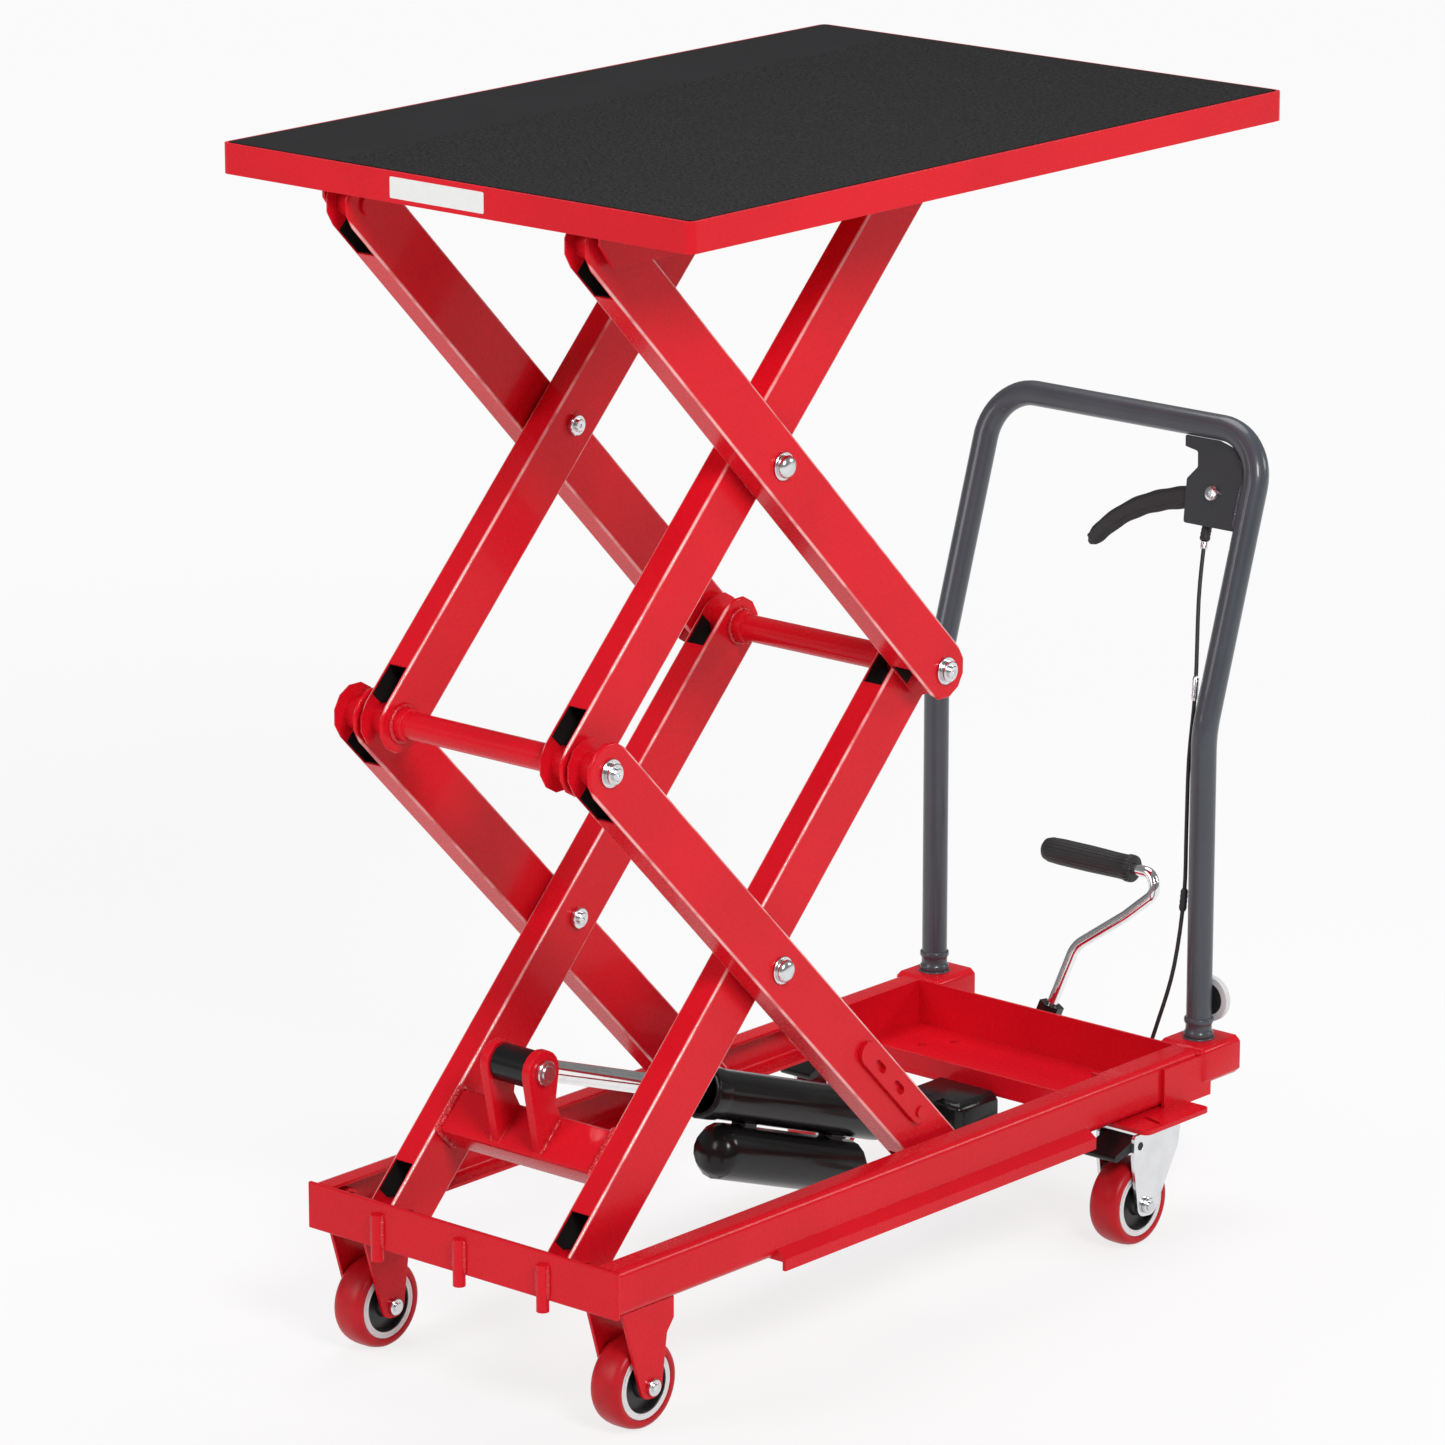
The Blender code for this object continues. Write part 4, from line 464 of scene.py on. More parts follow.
class Finish:
    """One material in the making, on Object coordinates."""

    def __init__(self, name):
        self.material = bpy.data.materials.new(name)
        self.material.use_nodes = True
        self.tree = self.material.node_tree
        self.tree.nodes.clear()
        output = self.tree.nodes.new("ShaderNodeOutputMaterial")
        self.shader = self.tree.nodes.new("ShaderNodeBsdfPrincipled")
        self.tree.links.new(self.shader.outputs["BSDF"], output.inputs["Surface"])
        place = self.add("ShaderNodeTexCoord")
        self.place = Shade(self, place.outputs["Object"])

    def add(self, kind, settings=None, sockets=None):
        """One node with its settings made first, then its sockets' values or links."""
        node = self.tree.nodes.new(kind)
        for key, value in (settings or {}).items():
            setattr(node, key, value)
        for key, value in (sockets or {}).items():
            self.feed(node.inputs[key], value)
        return node

    def feed(self, socket, value):
        if isinstance(value, Shade):
            self.tree.links.new(value.socket, socket)
        else:
            socket.default_value = value

    def sum(self, operation, *values):
        node = self.add("ShaderNodeMath", {"operation": operation}, dict(enumerate(values)))
        return Shade(self, node.outputs[0])

    def set(self, **values):
        for key, value in values.items():
            self.feed(self.shader.inputs[key.replace("_", " ").title().replace("Ior", "IOR")], value)

    def axes(self):
        node = self.add("ShaderNodeSeparateXYZ", sockets={0: self.place})
        return [Shade(self, node.outputs[i]) for i in range(3)]

    def noise(self, scale, detail=2.0, roughness=0.5, stretch=None):
        place = self.place
        if stretch:
            node = self.add("ShaderNodeMapping", sockets={"Vector": place, "Scale": stretch})
            place = Shade(self, node.outputs[0])
        node = self.add("ShaderNodeTexNoise", sockets={"Vector": place, "Scale": scale, "Detail": detail,
                                                       "Roughness": roughness})
        return Shade(self, node.outputs[0])

    def cells(self, scale, feature="SMOOTH_F1"):
        node = self.add("ShaderNodeTexVoronoi", {"feature": feature}, {"Vector": self.place, "Scale": scale})
        return Shade(self, node.outputs["Distance"])

    def tint(self, factor, first, last):
        """A colour that goes from first to last with the factor; each is a colour or a shade."""
        colours = [value if isinstance(value, Shade) else (*value, 1.0) for value in (first, last)]
        node = self.add("ShaderNodeMix", {"data_type": "RGBA"}, {0: factor, 6: colours[0], 7: colours[1]})
        return Shade(self, node.outputs[2])

    def relief(self, height, strength, distance):
        sockets = {"Strength": strength, "Distance": distance, "Height": height}
        node = self.add("ShaderNodeBump", sockets=sockets)
        self.set(normal=Shade(self, node.outputs[0]))

    def from_axis(self, spot, along="X"):
        """Distance from a line through the spot along X or Y."""
        x, y, z = self.axes()
        across = y - spot[1] if along == "X" else x - spot[0]
        return (across * across + (z - spot[2]) * (z - spot[2])) ** 0.5


def shaded(colour, share):
    return tuple(value * share for value in colour)


def red_enamel(name, arm=None):
    """Sprayed gloss enamel with a fine peel; on an arm, the inside of the tube is darkened as painted shade and
    its long edges carry a pale painted highlight.
    """
    paint = paint_settings()
    finish = Finish(name)
    drift = finish.noise(7.0, 3.0)
    peel = finish.noise(300.0, 2.0, 0.6)
    red = finish.tint(drift.between(0.3, 0.7), shaded(paint.enamel, 0.90), paint.enamel)
    red = finish.tint(peel.between(0.56, 0.72) * 0.30, red, shaded(paint.enamel, 0.70))
    rough = 0.20 + peel * 0.10 + drift * 0.05
    coat = 0.10
    if arm:
        origin, slope, across = ARMS[arm]
        x, y, z = finish.axes()
        rise = abs((z - origin.z) * math.cos(slope) - (y - origin.y) * math.sin(slope))
        along = (z - origin.z) * math.sin(slope) + (y - origin.y) * math.cos(slope)
        beside = abs(abs(x) - across)
        half_deep = ARM_DEPTH / 2.0
        half_wide = ARM_WIDTH / 2.0
        in_wall = ARM_WALL / 2.0
        ear = 0.010
        edge_from, edge_to = 0.0030, 0.0012
        # Painted shade: the inside of the tube is tinted near-black.
        painted_hollow_shade = rise.below(half_deep - in_wall) * beside.below(half_wide - in_wall)
        painted_hollow_shade = painted_hollow_shade * abs(along - ARM_SPAN / 2.0).below(ARM_SPAN / 2.0 - ear)
        edge = beside.between(half_wide - edge_from, half_wide - edge_to)
        edge = edge * rise.between(half_deep - edge_from, half_deep - edge_to)
        # Painted highlight: a pale, broken band along the tube's long edges.
        painted_edge_highlight = edge * (0.35 + finish.noise(26.0, 3.0).between(0.36, 0.56) * 0.55)
        red = finish.tint(painted_edge_highlight, red, (1.0, 0.52, 0.50))
        red = finish.tint(painted_hollow_shade, red, (0.010, 0.008, 0.008))
        rough = rough + painted_hollow_shade * 0.35
        coat = 0.10 + edge * 0.8
    finish.set(base_color=red, roughness=rough, specular_ior_level=0.14, coat_weight=coat,
               coat_roughness=0.05)
    finish.relief(peel, paint.peel, 0.0006)
    return finish.material


def weld_enamel():
    """The same enamel over a rough weld, with bright flecks."""
    paint = paint_settings()
    finish = Finish("weld_enamel")
    lumps = finish.noise(520.0, 3.0)
    fleck = finish.noise(900.0, 1.0)
    red = finish.tint(lumps.between(0.3, 0.7), shaded(paint.enamel, 0.74), paint.enamel)
    red = finish.tint(fleck.between(0.66, 0.75) * 0.45, red, (0.92, 0.30, 0.30))
    finish.set(base_color=red, roughness=0.20 + lumps * 0.16, specular_ior_level=0.4, coat_weight=0.3,
               coat_roughness=0.06)
    finish.relief(lumps, 0.6, 0.0012)
    return finish.material


def tread_red():
    paint = paint_settings()
    finish = Finish("tread_red")
    cloud = finish.noise(60.0, 3.0)
    grain = finish.noise(900.0, 2.0)
    red = finish.tint(cloud.between(0.25, 0.75), shaded(paint.tyre, 0.86), paint.tyre)
    finish.set(base_color=red, roughness=0.32 + cloud * 0.12, specular_ior_level=0.25)
    finish.relief(grain, 0.06, 0.0005)
    return finish.material


def hub_plastic(name, centre):
    """Black moulded hub inside a pale grey ring."""
    finish = Finish(name)
    out = finish.from_axis(centre)
    ring = out.between(0.0284, 0.0288)
    grain = finish.noise(700.0, 2.0)
    black = finish.tint(grain, (0.012, 0.012, 0.013), (0.020, 0.020, 0.021))
    colour = finish.tint(ring, black, (0.74, 0.74, 0.75))
    finish.set(base_color=colour, roughness=0.32 + grain * 0.10)
    finish.relief(grain, 0.08, 0.0004)
    return finish.material


def handle_slate(name="handle_slate", share=1.0):
    """Satin powder coat of the handle; share makes it darker or paler."""
    paint = paint_settings()
    finish = Finish(name)
    powder = finish.noise(1500.0, 2.0)
    drift = finish.noise(16.0, 2.0)
    plain = shaded(paint.slate, share)
    colour = finish.tint(drift.between(0.3, 0.7), shaded(plain, 0.88), plain)
    colour = finish.tint(powder.between(0.6, 0.75) * 0.25, colour, shaded(plain, 2.4))
    finish.set(base_color=colour, roughness=0.30 + drift * 0.10, specular_ior_level=0.35, coat_weight=0.35,
               coat_roughness=0.07)
    finish.relief(powder, 0.10, 0.0004)
    return finish.material


def gloss_black(name, lumps):
    """Black gloss paint over metal whose skin has lumps of the given strength."""
    paint = paint_settings()
    finish = Finish(name)
    cast = finish.noise(260.0, 3.0)
    dust = finish.noise(30.0, 4.0)
    colour = finish.tint(dust.between(0.5, 0.8) * 0.5, paint.gloss_black, (0.013, 0.013, 0.012))
    finish.set(base_color=colour, roughness=0.16 + dust * 0.14, specular_ior_level=0.22, coat_weight=0.12,
               coat_roughness=0.05)
    finish.relief(cast, lumps, 0.0008)
    return finish.material


def pebbled_rubber():
    """Mat with a fine pebble, darkened between the pebbles as painted shade, and a smoother strip along its left
    edge, darkened as a painted reflection.
    """
    paint = paint_settings()
    finish = Finish("pebbled_rubber")
    pebble = finish.cells(size_settings().pebble)
    x, y, _ = finish.axes()
    off_reflection_band = (x + y * 0.042).between(-0.1750, -0.1730)
    dust = finish.noise(14.0, 4.0)
    colour = finish.tint(dust.between(0.35, 0.7), shaded(paint.rubber, 0.85), shaded(paint.rubber, 1.25))
    # Painted shade: the gaps between the pebbles are darkened.
    colour = finish.tint(pebble.between(0.1, 0.6) * off_reflection_band, colour, shaded(paint.rubber, 0.30))
    # Painted reflection: the strip along the left edge is darkened.
    colour = finish.tint((1.0 - off_reflection_band) * 0.65, colour, shaded(paint.rubber, 0.55))
    finish.set(base_color=colour, roughness=0.50 + dust * 0.12 - off_reflection_band * 0.04, specular_ior_level=0.06)
    finish.relief((1.0 - pebble) * (0.12 + off_reflection_band * 0.88), 0.9, 0.0020)
    return finish.material


def grip_rubber(centre):
    """Grip with fine grooves along its length, darkened at their bottoms as painted shade."""
    paint = paint_settings()
    finish = Finish("grip_rubber")
    _, y, z = finish.axes()
    turn = finish.sum("ARCTAN2", z - centre.z, y - centre.y)
    groove = finish.sum("SINE", turn * 26.0)
    grain = finish.noise(800.0, 2.0)
    # Painted shade: the bottoms of the grooves are darkened.
    colour = finish.tint(groove.between(-1.0, -0.4), shaded(paint.rubber, 0.45), paint.rubber)
    finish.set(base_color=colour, roughness=0.42 + grain * 0.16)
    finish.relief(groove * 0.8 + grain * 0.2, 0.35, 0.0008)
    return finish.material


def soft_rubber():
    paint = paint_settings()
    finish = Finish("soft_rubber")
    grain = finish.noise(620.0, 3.0)
    colour = finish.tint(grain, shaded(paint.rubber, 0.7), shaded(paint.rubber, 1.3))
    finish.set(base_color=colour, roughness=0.48 + grain * 0.14)
    finish.relief(grain, 0.18, 0.0005)
    return finish.material


def bumper_rubber(centre):
    """Black disc with a pale rim."""
    finish = Finish("bumper_rubber")
    out = finish.from_axis(centre, "Y")
    rim = out.between(0.0172, 0.0178)
    grain = finish.noise(500.0, 2.0)
    colour = finish.tint(rim, (0.018, 0.018, 0.019), (0.70, 0.70, 0.71))
    finish.set(base_color=colour, roughness=0.36 + grain * 0.14)
    finish.relief(grain, 0.10, 0.0005)
    return finish.material


def bright_zinc(name="bright_zinc", stain=0.78):
    """Plated steel; stain is how dark its clouds are."""
    paint = paint_settings()
    finish = Finish(name)
    cloud = finish.noise(60.0, 3.0)
    brushed = finish.noise(900.0, 2.0, 0.5, (0.15, 1.0, 1.0))
    colour = finish.tint(cloud.between(0.3, 0.8), paint.zinc, shaded(paint.zinc, stain))
    finish.set(base_color=colour, metallic=1.0, roughness=0.14 + cloud * 0.10 + brushed * 0.06)
    finish.relief(brushed, 0.05, 0.0003)
    return finish.material


def mirror_chrome():
    finish = Finish("mirror_chrome")
    haze = finish.noise(90.0, 4.0)
    colour = finish.tint(haze.between(0.4, 0.8), (0.88, 0.88, 0.89), (0.76, 0.76, 0.78))
    finish.set(base_color=colour, metallic=1.0, roughness=0.06 + haze * 0.09)
    return finish.material


def blank_film():
    """Plain pale sticker with nothing on it."""
    finish = Finish("blank_film")
    haze = finish.noise(80.0, 3.0)
    colour = finish.tint(haze, (0.80, 0.80, 0.79), (0.85, 0.85, 0.84))
    finish.set(base_color=colour, roughness=0.32 + haze * 0.12)
    return finish.material


STORE = {}


def finish_of(maker, *details):
    """Each finish is made once, when it is first asked for."""
    key = (maker.__name__, str(details))
    if key not in STORE:
        STORE[key] = maker(*details)
    return STORE[key]


# Pieces


class LIFTTABLE_OT_stage(bpy.types.Operator):
    """Pale floor, soft lamps and the camera"""

    bl_idname = "lift_table.stage"
    bl_label = "Stage"

    def execute(self, context):
        settings = context.scene.lift_table_stage
        self.camera(settings)
        self.floor(settings)
        self.lamps()
        self.surroundings()
        context.scene.view_settings.view_transform = "Standard"
        return {"FINISHED"}

    def camera(self, settings):
        lay_down()
        bpy.ops.object.camera_add(location=settings.eye)
        eye = bpy.context.object
        eye.data.lens = settings.lens
        eye.data.sensor_width = 36.0
        eye.data.clip_end = 100.0
        a, p = settings.azimuth, settings.pitch
        back = Vector((math.sin(a) * math.cos(p), -math.cos(a) * math.cos(p), math.sin(p)))
        eye.rotation_mode = "QUATERNION"
        eye.rotation_quaternion = (-back).to_track_quat("-Z", "Y")
        bpy.context.scene.camera = eye

    def floor(self, settings):
        lay_down()
        bpy.ops.mesh.primitive_plane_add(size=60.0)
        floor = named("studio_floor")
        finish = Finish("studio_floor")
        speck = finish.noise(3.0, 2.0)
        colour = finish.tint(speck, shaded(settings.floor, 0.985), tuple(settings.floor))
        finish.set(base_color=colour, roughness=0.85)
        glow = finish.add("ShaderNodeEmission", sockets={"Color": (1.0, 1.0, 1.0, 1.0), "Strength": 0.985})
        path = finish.add("ShaderNodeLightPath")
        seen = Shade(finish, path.outputs["Is Camera Ray"])
        for ray in ("Is Glossy Ray", "Is Transmission Ray"):
            seen = finish.sum("MAXIMUM", seen, Shade(finish, path.outputs[ray]))
        x, y, _ = finish.axes()
        far = ((x * x + y * y) ** 0.5).between(0.9, 4.0)
        mix = finish.add("ShaderNodeMixShader", sockets={0: seen * (0.80 + far * 0.16)})
        finish.tree.links.new(finish.shader.outputs[0], mix.inputs[1])
        finish.tree.links.new(glow.outputs[0], mix.inputs[2])
        output = next(node for node in finish.tree.nodes if node.type == "OUTPUT_MATERIAL")
        finish.tree.links.new(mix.outputs[0], output.inputs["Surface"])
        floor.data.materials.append(finish.material)

    def lamps(self):
        lamps = (
            ("key_lamp", (3.8, -2.0, 3.8), 1.7, 158.0),
            ("front_lamp", (-1.6, -4.4, 2.6), 2.6, 75.0),
            ("top_lamp", (-0.8, 1.2, 4.2), 2.8, 83.0),
            ("rear_lamp", (2.8, 3.2, 2.2), 1.2, 34.0),
        )
        target = Vector((0.0, 0.0, 0.62))
        for name, spot, size, power in lamps:
            lay_down()
            bpy.ops.object.light_add(type="AREA", location=spot)
            lamp = named(name)
            lamp.data.shape = "DISK"
            lamp.data.size = size
            lamp.data.energy = power
            lamp.rotation_mode = "QUATERNION"
            lamp.rotation_quaternion = (target - Vector(spot)).to_track_quat("-Z", "Y")

    def surroundings(self):
        world = bpy.data.worlds.new("studio_air")
        world.use_nodes = True
        tree = world.node_tree
        air = tree.nodes["Background"]
        air.inputs["Color"].default_value = (1.0, 1.0, 1.0, 1.0)
        path = tree.nodes.new("ShaderNodeLightPath")
        strength = tree.nodes.new("ShaderNodeMapRange")
        strength.inputs["To Min"].default_value = 0.23
        strength.inputs["To Max"].default_value = 1.0
        tree.links.new(path.outputs["Is Camera Ray"], strength.inputs["Value"])
        tree.links.new(strength.outputs["Result"], air.inputs["Strength"])
        bpy.context.scene.world = world


class LIFTTABLE_OT_release_cable(bpy.types.Operator):
    """Sheathed cable from the release lever to the pump"""

    bl_idname = "lift_table.release_cable"
    bl_label = "Release cable"

    spots = (
        (0.124500, 0.492454, 0.712170), (0.125100, 0.486654, 0.693170), (0.137, 0.463245, 0.640),
        (0.156, 0.435245, 0.553), (0.1605, 0.420245, 0.480), (0.1605, 0.418245, 0.404),
        (0.1590, 0.418245, 0.333), (0.150, 0.415245, 0.255), (0.135, 0.410245, 0.195),
        (0.116, 0.405245, 0.140), (0.098, 0.381245, 0.106), (0.084, 0.323245, 0.098),
        (0.074, 0.258245, 0.102), (0.064, 0.235245, 0.104), (0.0506, 0.235245, 0.104),
    )
    radius = 0.0022

    def execute(self, context):
        route = flowing(self.spots, 4)
        cable = drawn_curve("release_cable_sheath", route, self.radius, 4)
        for spline in cable.data.splines:
            spline.use_smooth = True
        rubber = finish_of(soft_rubber)
        zinc = finish_of(bright_zinc)
        attach(cable, "base", "black_rubber", rubber, "release_cable")
        fittings = [
            self.sleeve("cable_fork", route, 0.0, 0.017, 0.0058, rubber, "black_rubber"),
            self.sleeve("cable_collar", route, 0.017, 0.026, 0.0040, zinc, "zinc_plate"),
            self.sleeve("cable_adjuster", route, 0.160, 0.186, 0.0038, zinc, "zinc_plate"),
            self.sleeve("cable_clip", route, 0.388, 0.412, 0.0042, rubber, "black_rubber"),
        ]
        length = sum((b - a).length for a, b in zip(route, route[1:]))
        2.0 * self.radius
        return {"FINISHED"}

    def sleeve(self, name, route, begin, end, radius, finish, slot):
        """A fitting round the cable between two distances from its start."""
        steps = 9
        spots = [self.along(route, begin + (end - begin) * i / steps) for i in range(steps + 1)]
        widths = [0.72, 0.96] + [1.0 if i % 2 else 0.90 for i in range(steps - 3)] + [0.96, 0.72]
        piece = tube(name, spots, radius, 4, widths)
        attach(piece, "base", slot, finish)
        return piece

    def along(self, route, distance):
        for a, b in zip(route, route[1:]):
            step = (b - a).length
            if distance <= step:
                return a.lerp(b, distance / step)
            distance -= step
        return route[-1]


class LIFTTABLE_OT_arms(bpy.types.Operator):
    """Box tubes of the scissor, with rounded long edges that carry a painted highlight, and insides darkened as
    painted shade
    """

    bl_idname = "lift_table.arms"
    bl_label = "Arms"

    mouth_along = 0.0365
    mouth_length = 0.017
    mouth_height = 0.075
    mouth_play = 0.0008
    sleeve_bore = 0.0086
    sleeve_radius = 0.0158
    sleeve_play = 0.0002

    def execute(self, context):
        edge = size_settings().tube_edge
        for arm in ARMS:
            finish = finish_of(red_enamel, "red_enamel_" + arm, arm)
            for label, side in SIDES:
                node = f"{arm}_arm_{label}"
                piece = merged_copy(node)
                self.round_outline(piece, arm, side, edge)
                self.open_mouths(piece, arm, side)
                smooth(piece, 45.0)
                flatten(piece)
                attach(piece, BODY_OF[node], SLOT_OF[node], finish, node)
        self.sleeves()
        return {"FINISHED"}

    def sleeves(self):
        """Red sleeves that carry the cross tubes on through the arms' ears."""
        end = ARM_WIDTH / 2.0 - ARM_WALL - self.sleeve_play
        profile = both_halves(((self.sleeve_bore, end), (self.sleeve_radius, end)))
        places = (("lower_outer", MIDDLE), ("upper_inner", MIDDLE), ("lower_inner", REAR_MIDDLE),
                  ("upper_outer", REAR_MIDDLE), ("lower_inner", LIFT), ("upper_outer", TABLE_PIVOT))
        for index, (arm, spot) in enumerate(places):
            for label, side in SIDES:
                foot = Vector((side * ARMS[arm][2], spot.y, spot.z))
                piece = turned(f"pivot_sleeve_{index + 1}_{label}", profile, foot)
                attach(piece, arm, "red_paint", finish_of(red_enamel, "red_enamel"))

    def open_mouths(self, piece, arm, side):
        """Cuts the narrow walls further back from the ears, so that the tube shows its inside, which is darkened
        as painted shade.
        """
        _, slope, across = ARMS[arm]
        inside = ARM_WIDTH - 2.0 * ARM_WALL - self.mouth_play
        for along in (self.mouth_along, ARM_SPAN - self.mouth_along):
            lay_down()
            bpy.ops.mesh.primitive_cube_add(
                size=1.0, location=on_arm(arm, side * across, along, 0.0), rotation=(slope, 0.0, 0.0),
                scale=(inside, self.mouth_length, self.mouth_height))
            cutter = named("mouth_cutter")
            apply_modifier(piece, "BOOLEAN", operation="DIFFERENCE", solver="EXACT", object=cutter)
            take_up(cutter)
            bpy.ops.object.delete()

    def round_outline(self, piece, arm, side, width):
        """Rounds the outline of the tube's two flat sides, from ear to ear."""
        origin, slope, across = ARMS[arm]
        ahead = Vector((math.cos(slope), math.sin(slope)))

        def on_outline(spot):
            flat = abs(abs(spot.x - side * across) - ARM_WIDTH / 2.0) < 0.0002
            away = Vector((spot.y - origin.y, spot.z - origin.z))
            share = min(max(away.dot(ahead), 0.0), ARM_SPAN)
            return flat and abs((away - ahead * share).length - ARM_DEPTH / 2.0) < 0.0009

        def along_outline(a, b):
            return on_outline(a) and on_outline(b) and abs(a.x - b.x) < 0.0001

        bevel_edges(piece, along_outline, width, 3)


class LIFTTABLE_OT_base(bpy.types.Operator):
    """Base frame, cross tubes, crossbar, safety bar and front shaft"""

    bl_idname = "lift_table.base"
    bl_label = "Base frame"

    def execute(self, context):
        red_pieces = ["front_beam", "rear_tray", "side_rail_left", "side_rail_right", "front_fork_left",
                      "front_fork_right", "front_middle_tube", "rear_middle_tube", "lower_crossbar",
                      "safety_bar"]
        finished(red_pieces, finish_of(red_enamel, "red_enamel"))
        finished(["front_pivot_shaft"], finish_of(bright_zinc), 0.0006)
        return {"FINISHED"}


class LIFTTABLE_OT_table(bpy.types.Operator):
    """Table frame, rubber mat and the blank sticker on the front rim"""

    bl_idname = "lift_table.table"
    bl_label = "Table"

    def execute(self, context):
        finished(["table_frame"], finish_of(red_enamel, "red_enamel"), 0.0012)
        finished(["table_mat"], finish_of(pebbled_rubber), 0.0010, 3)
        self.sticker()
        return {"FINISHED"}

    def sticker(self):
        low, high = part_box("table_frame")
        wide, tall, thick = 0.120, 0.0205, 0.0003
        corner = 0.0016
        middle = (-0.0165, low.y - thick / 2.0, high.z - 0.0150)
        lay_down()
        bpy.ops.mesh.primitive_cube_add(size=1.0, location=middle, scale=(wide, thick, tall))
        piece = named("blank_sticker")
        settle(piece)
        bevel_edges(piece, lambda a, b: abs(a.y - b.y) > thick / 2.0, corner, 4)
        attach(piece, "table", "red_paint", finish_of(blank_film))


DOME = ((HEAD_RADIUS - 0.0004, 0.0), (HEAD_RADIUS, 0.0006), (HEAD_RADIUS, 0.0026), (0.0109, 0.0046),
        (0.0094, 0.0064), (0.0070, 0.0077), (0.0038, 0.0083), (0.0, HEAD_HEIGHT))
NUT = ((0.0102, 0.0), (0.0106, 0.0004), (0.0106, 0.0046), (0.0097, 0.0054), (0.0064, 0.0054),
       (0.0064, 0.0076), (0.0055, HEAD_HEIGHT), (0.0018, HEAD_HEIGHT), (0.0016, 0.0070), (0.0, 0.0070))
WASHER = ((WASHER_RADIUS - 0.0005, 0.0), (WASHER_RADIUS, 0.0005), (WASHER_RADIUS, WASHER_WALL - 0.0005),
          (WASHER_RADIUS - 0.0005, WASHER_WALL))


class LIFTTABLE_OT_bolts(bpy.types.Operator):
    """Domed bolts of the crossings, nuts of the middle shafts, clevis pin and rollers"""

    bl_idname = "lift_table.bolts"
    bl_label = "Bolts and rollers"

    def execute(self, context):
        zinc = finish_of(bright_zinc)
        inner = INNER_FACE - SEAT
        outer = OUTER_FACE + SEAT
        grip = outer - inner
        crossing = [*turned_over(NUT), (PIN_RADIUS, 0.0), (PIN_RADIUS, grip), *raised(WASHER, grip),
                    *raised(DOME, grip + WASHER_WALL)]
        for level, spot in (("lower", LOWER_CROSS), ("upper", UPPER_CROSS)):
            for label, side in SIDES:
                node = f"{level}_centre_bolt_{label}"
                foot = Vector((side * inner, spot.y, spot.z))
                piece = turned("turned_" + node, crossing, foot, ALONG_X * side)
                attach(piece, BODY_OF[node], "zinc_plate", zinc, node)
        end = raised(WASHER, outer) + raised(NUT, outer + WASHER_WALL)
        through = [*turned_over(end), (PIN_RADIUS, -outer), (PIN_RADIUS, outer), *end]
        for node, spot in (("front_middle_shaft", MIDDLE), ("rear_middle_shaft", REAR_MIDDLE)):
            piece = turned("turned_" + node, through, Vector((0.0, spot.y, spot.z)))
            attach(piece, BODY_OF[node], "zinc_plate", zinc, node)
        self.clevis_pin(zinc)
        rollers = [f"{kind}_roller_{label}" for kind in ("rail", "guide") for label, _ in SIDES]
        finished(rollers, zinc, 0.0008)
        return {"FINISHED"}

    def clevis_pin(self, zinc):
        spot = joint_spot("rod_swing")
        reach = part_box("clevis_pin")[1].x
        face = reach - 0.006
        end = [(0.0121, face), (0.0125, face + 0.0004), (0.0125, face + 0.0036), (0.0116, face + 0.0046),
               (0.0078, face + 0.0046), (0.0078, reach - 0.0006), (0.0072, reach), (0.0, reach)]
        profile = [*turned_over(end), (PIN_RADIUS, -face), (PIN_RADIUS, face), *end]
        piece = turned("turned_clevis_pin", profile, Vector((0.0, spot.y, spot.z)))
        attach(piece, "lower_inner", "zinc_plate", zinc, "clevis_pin")


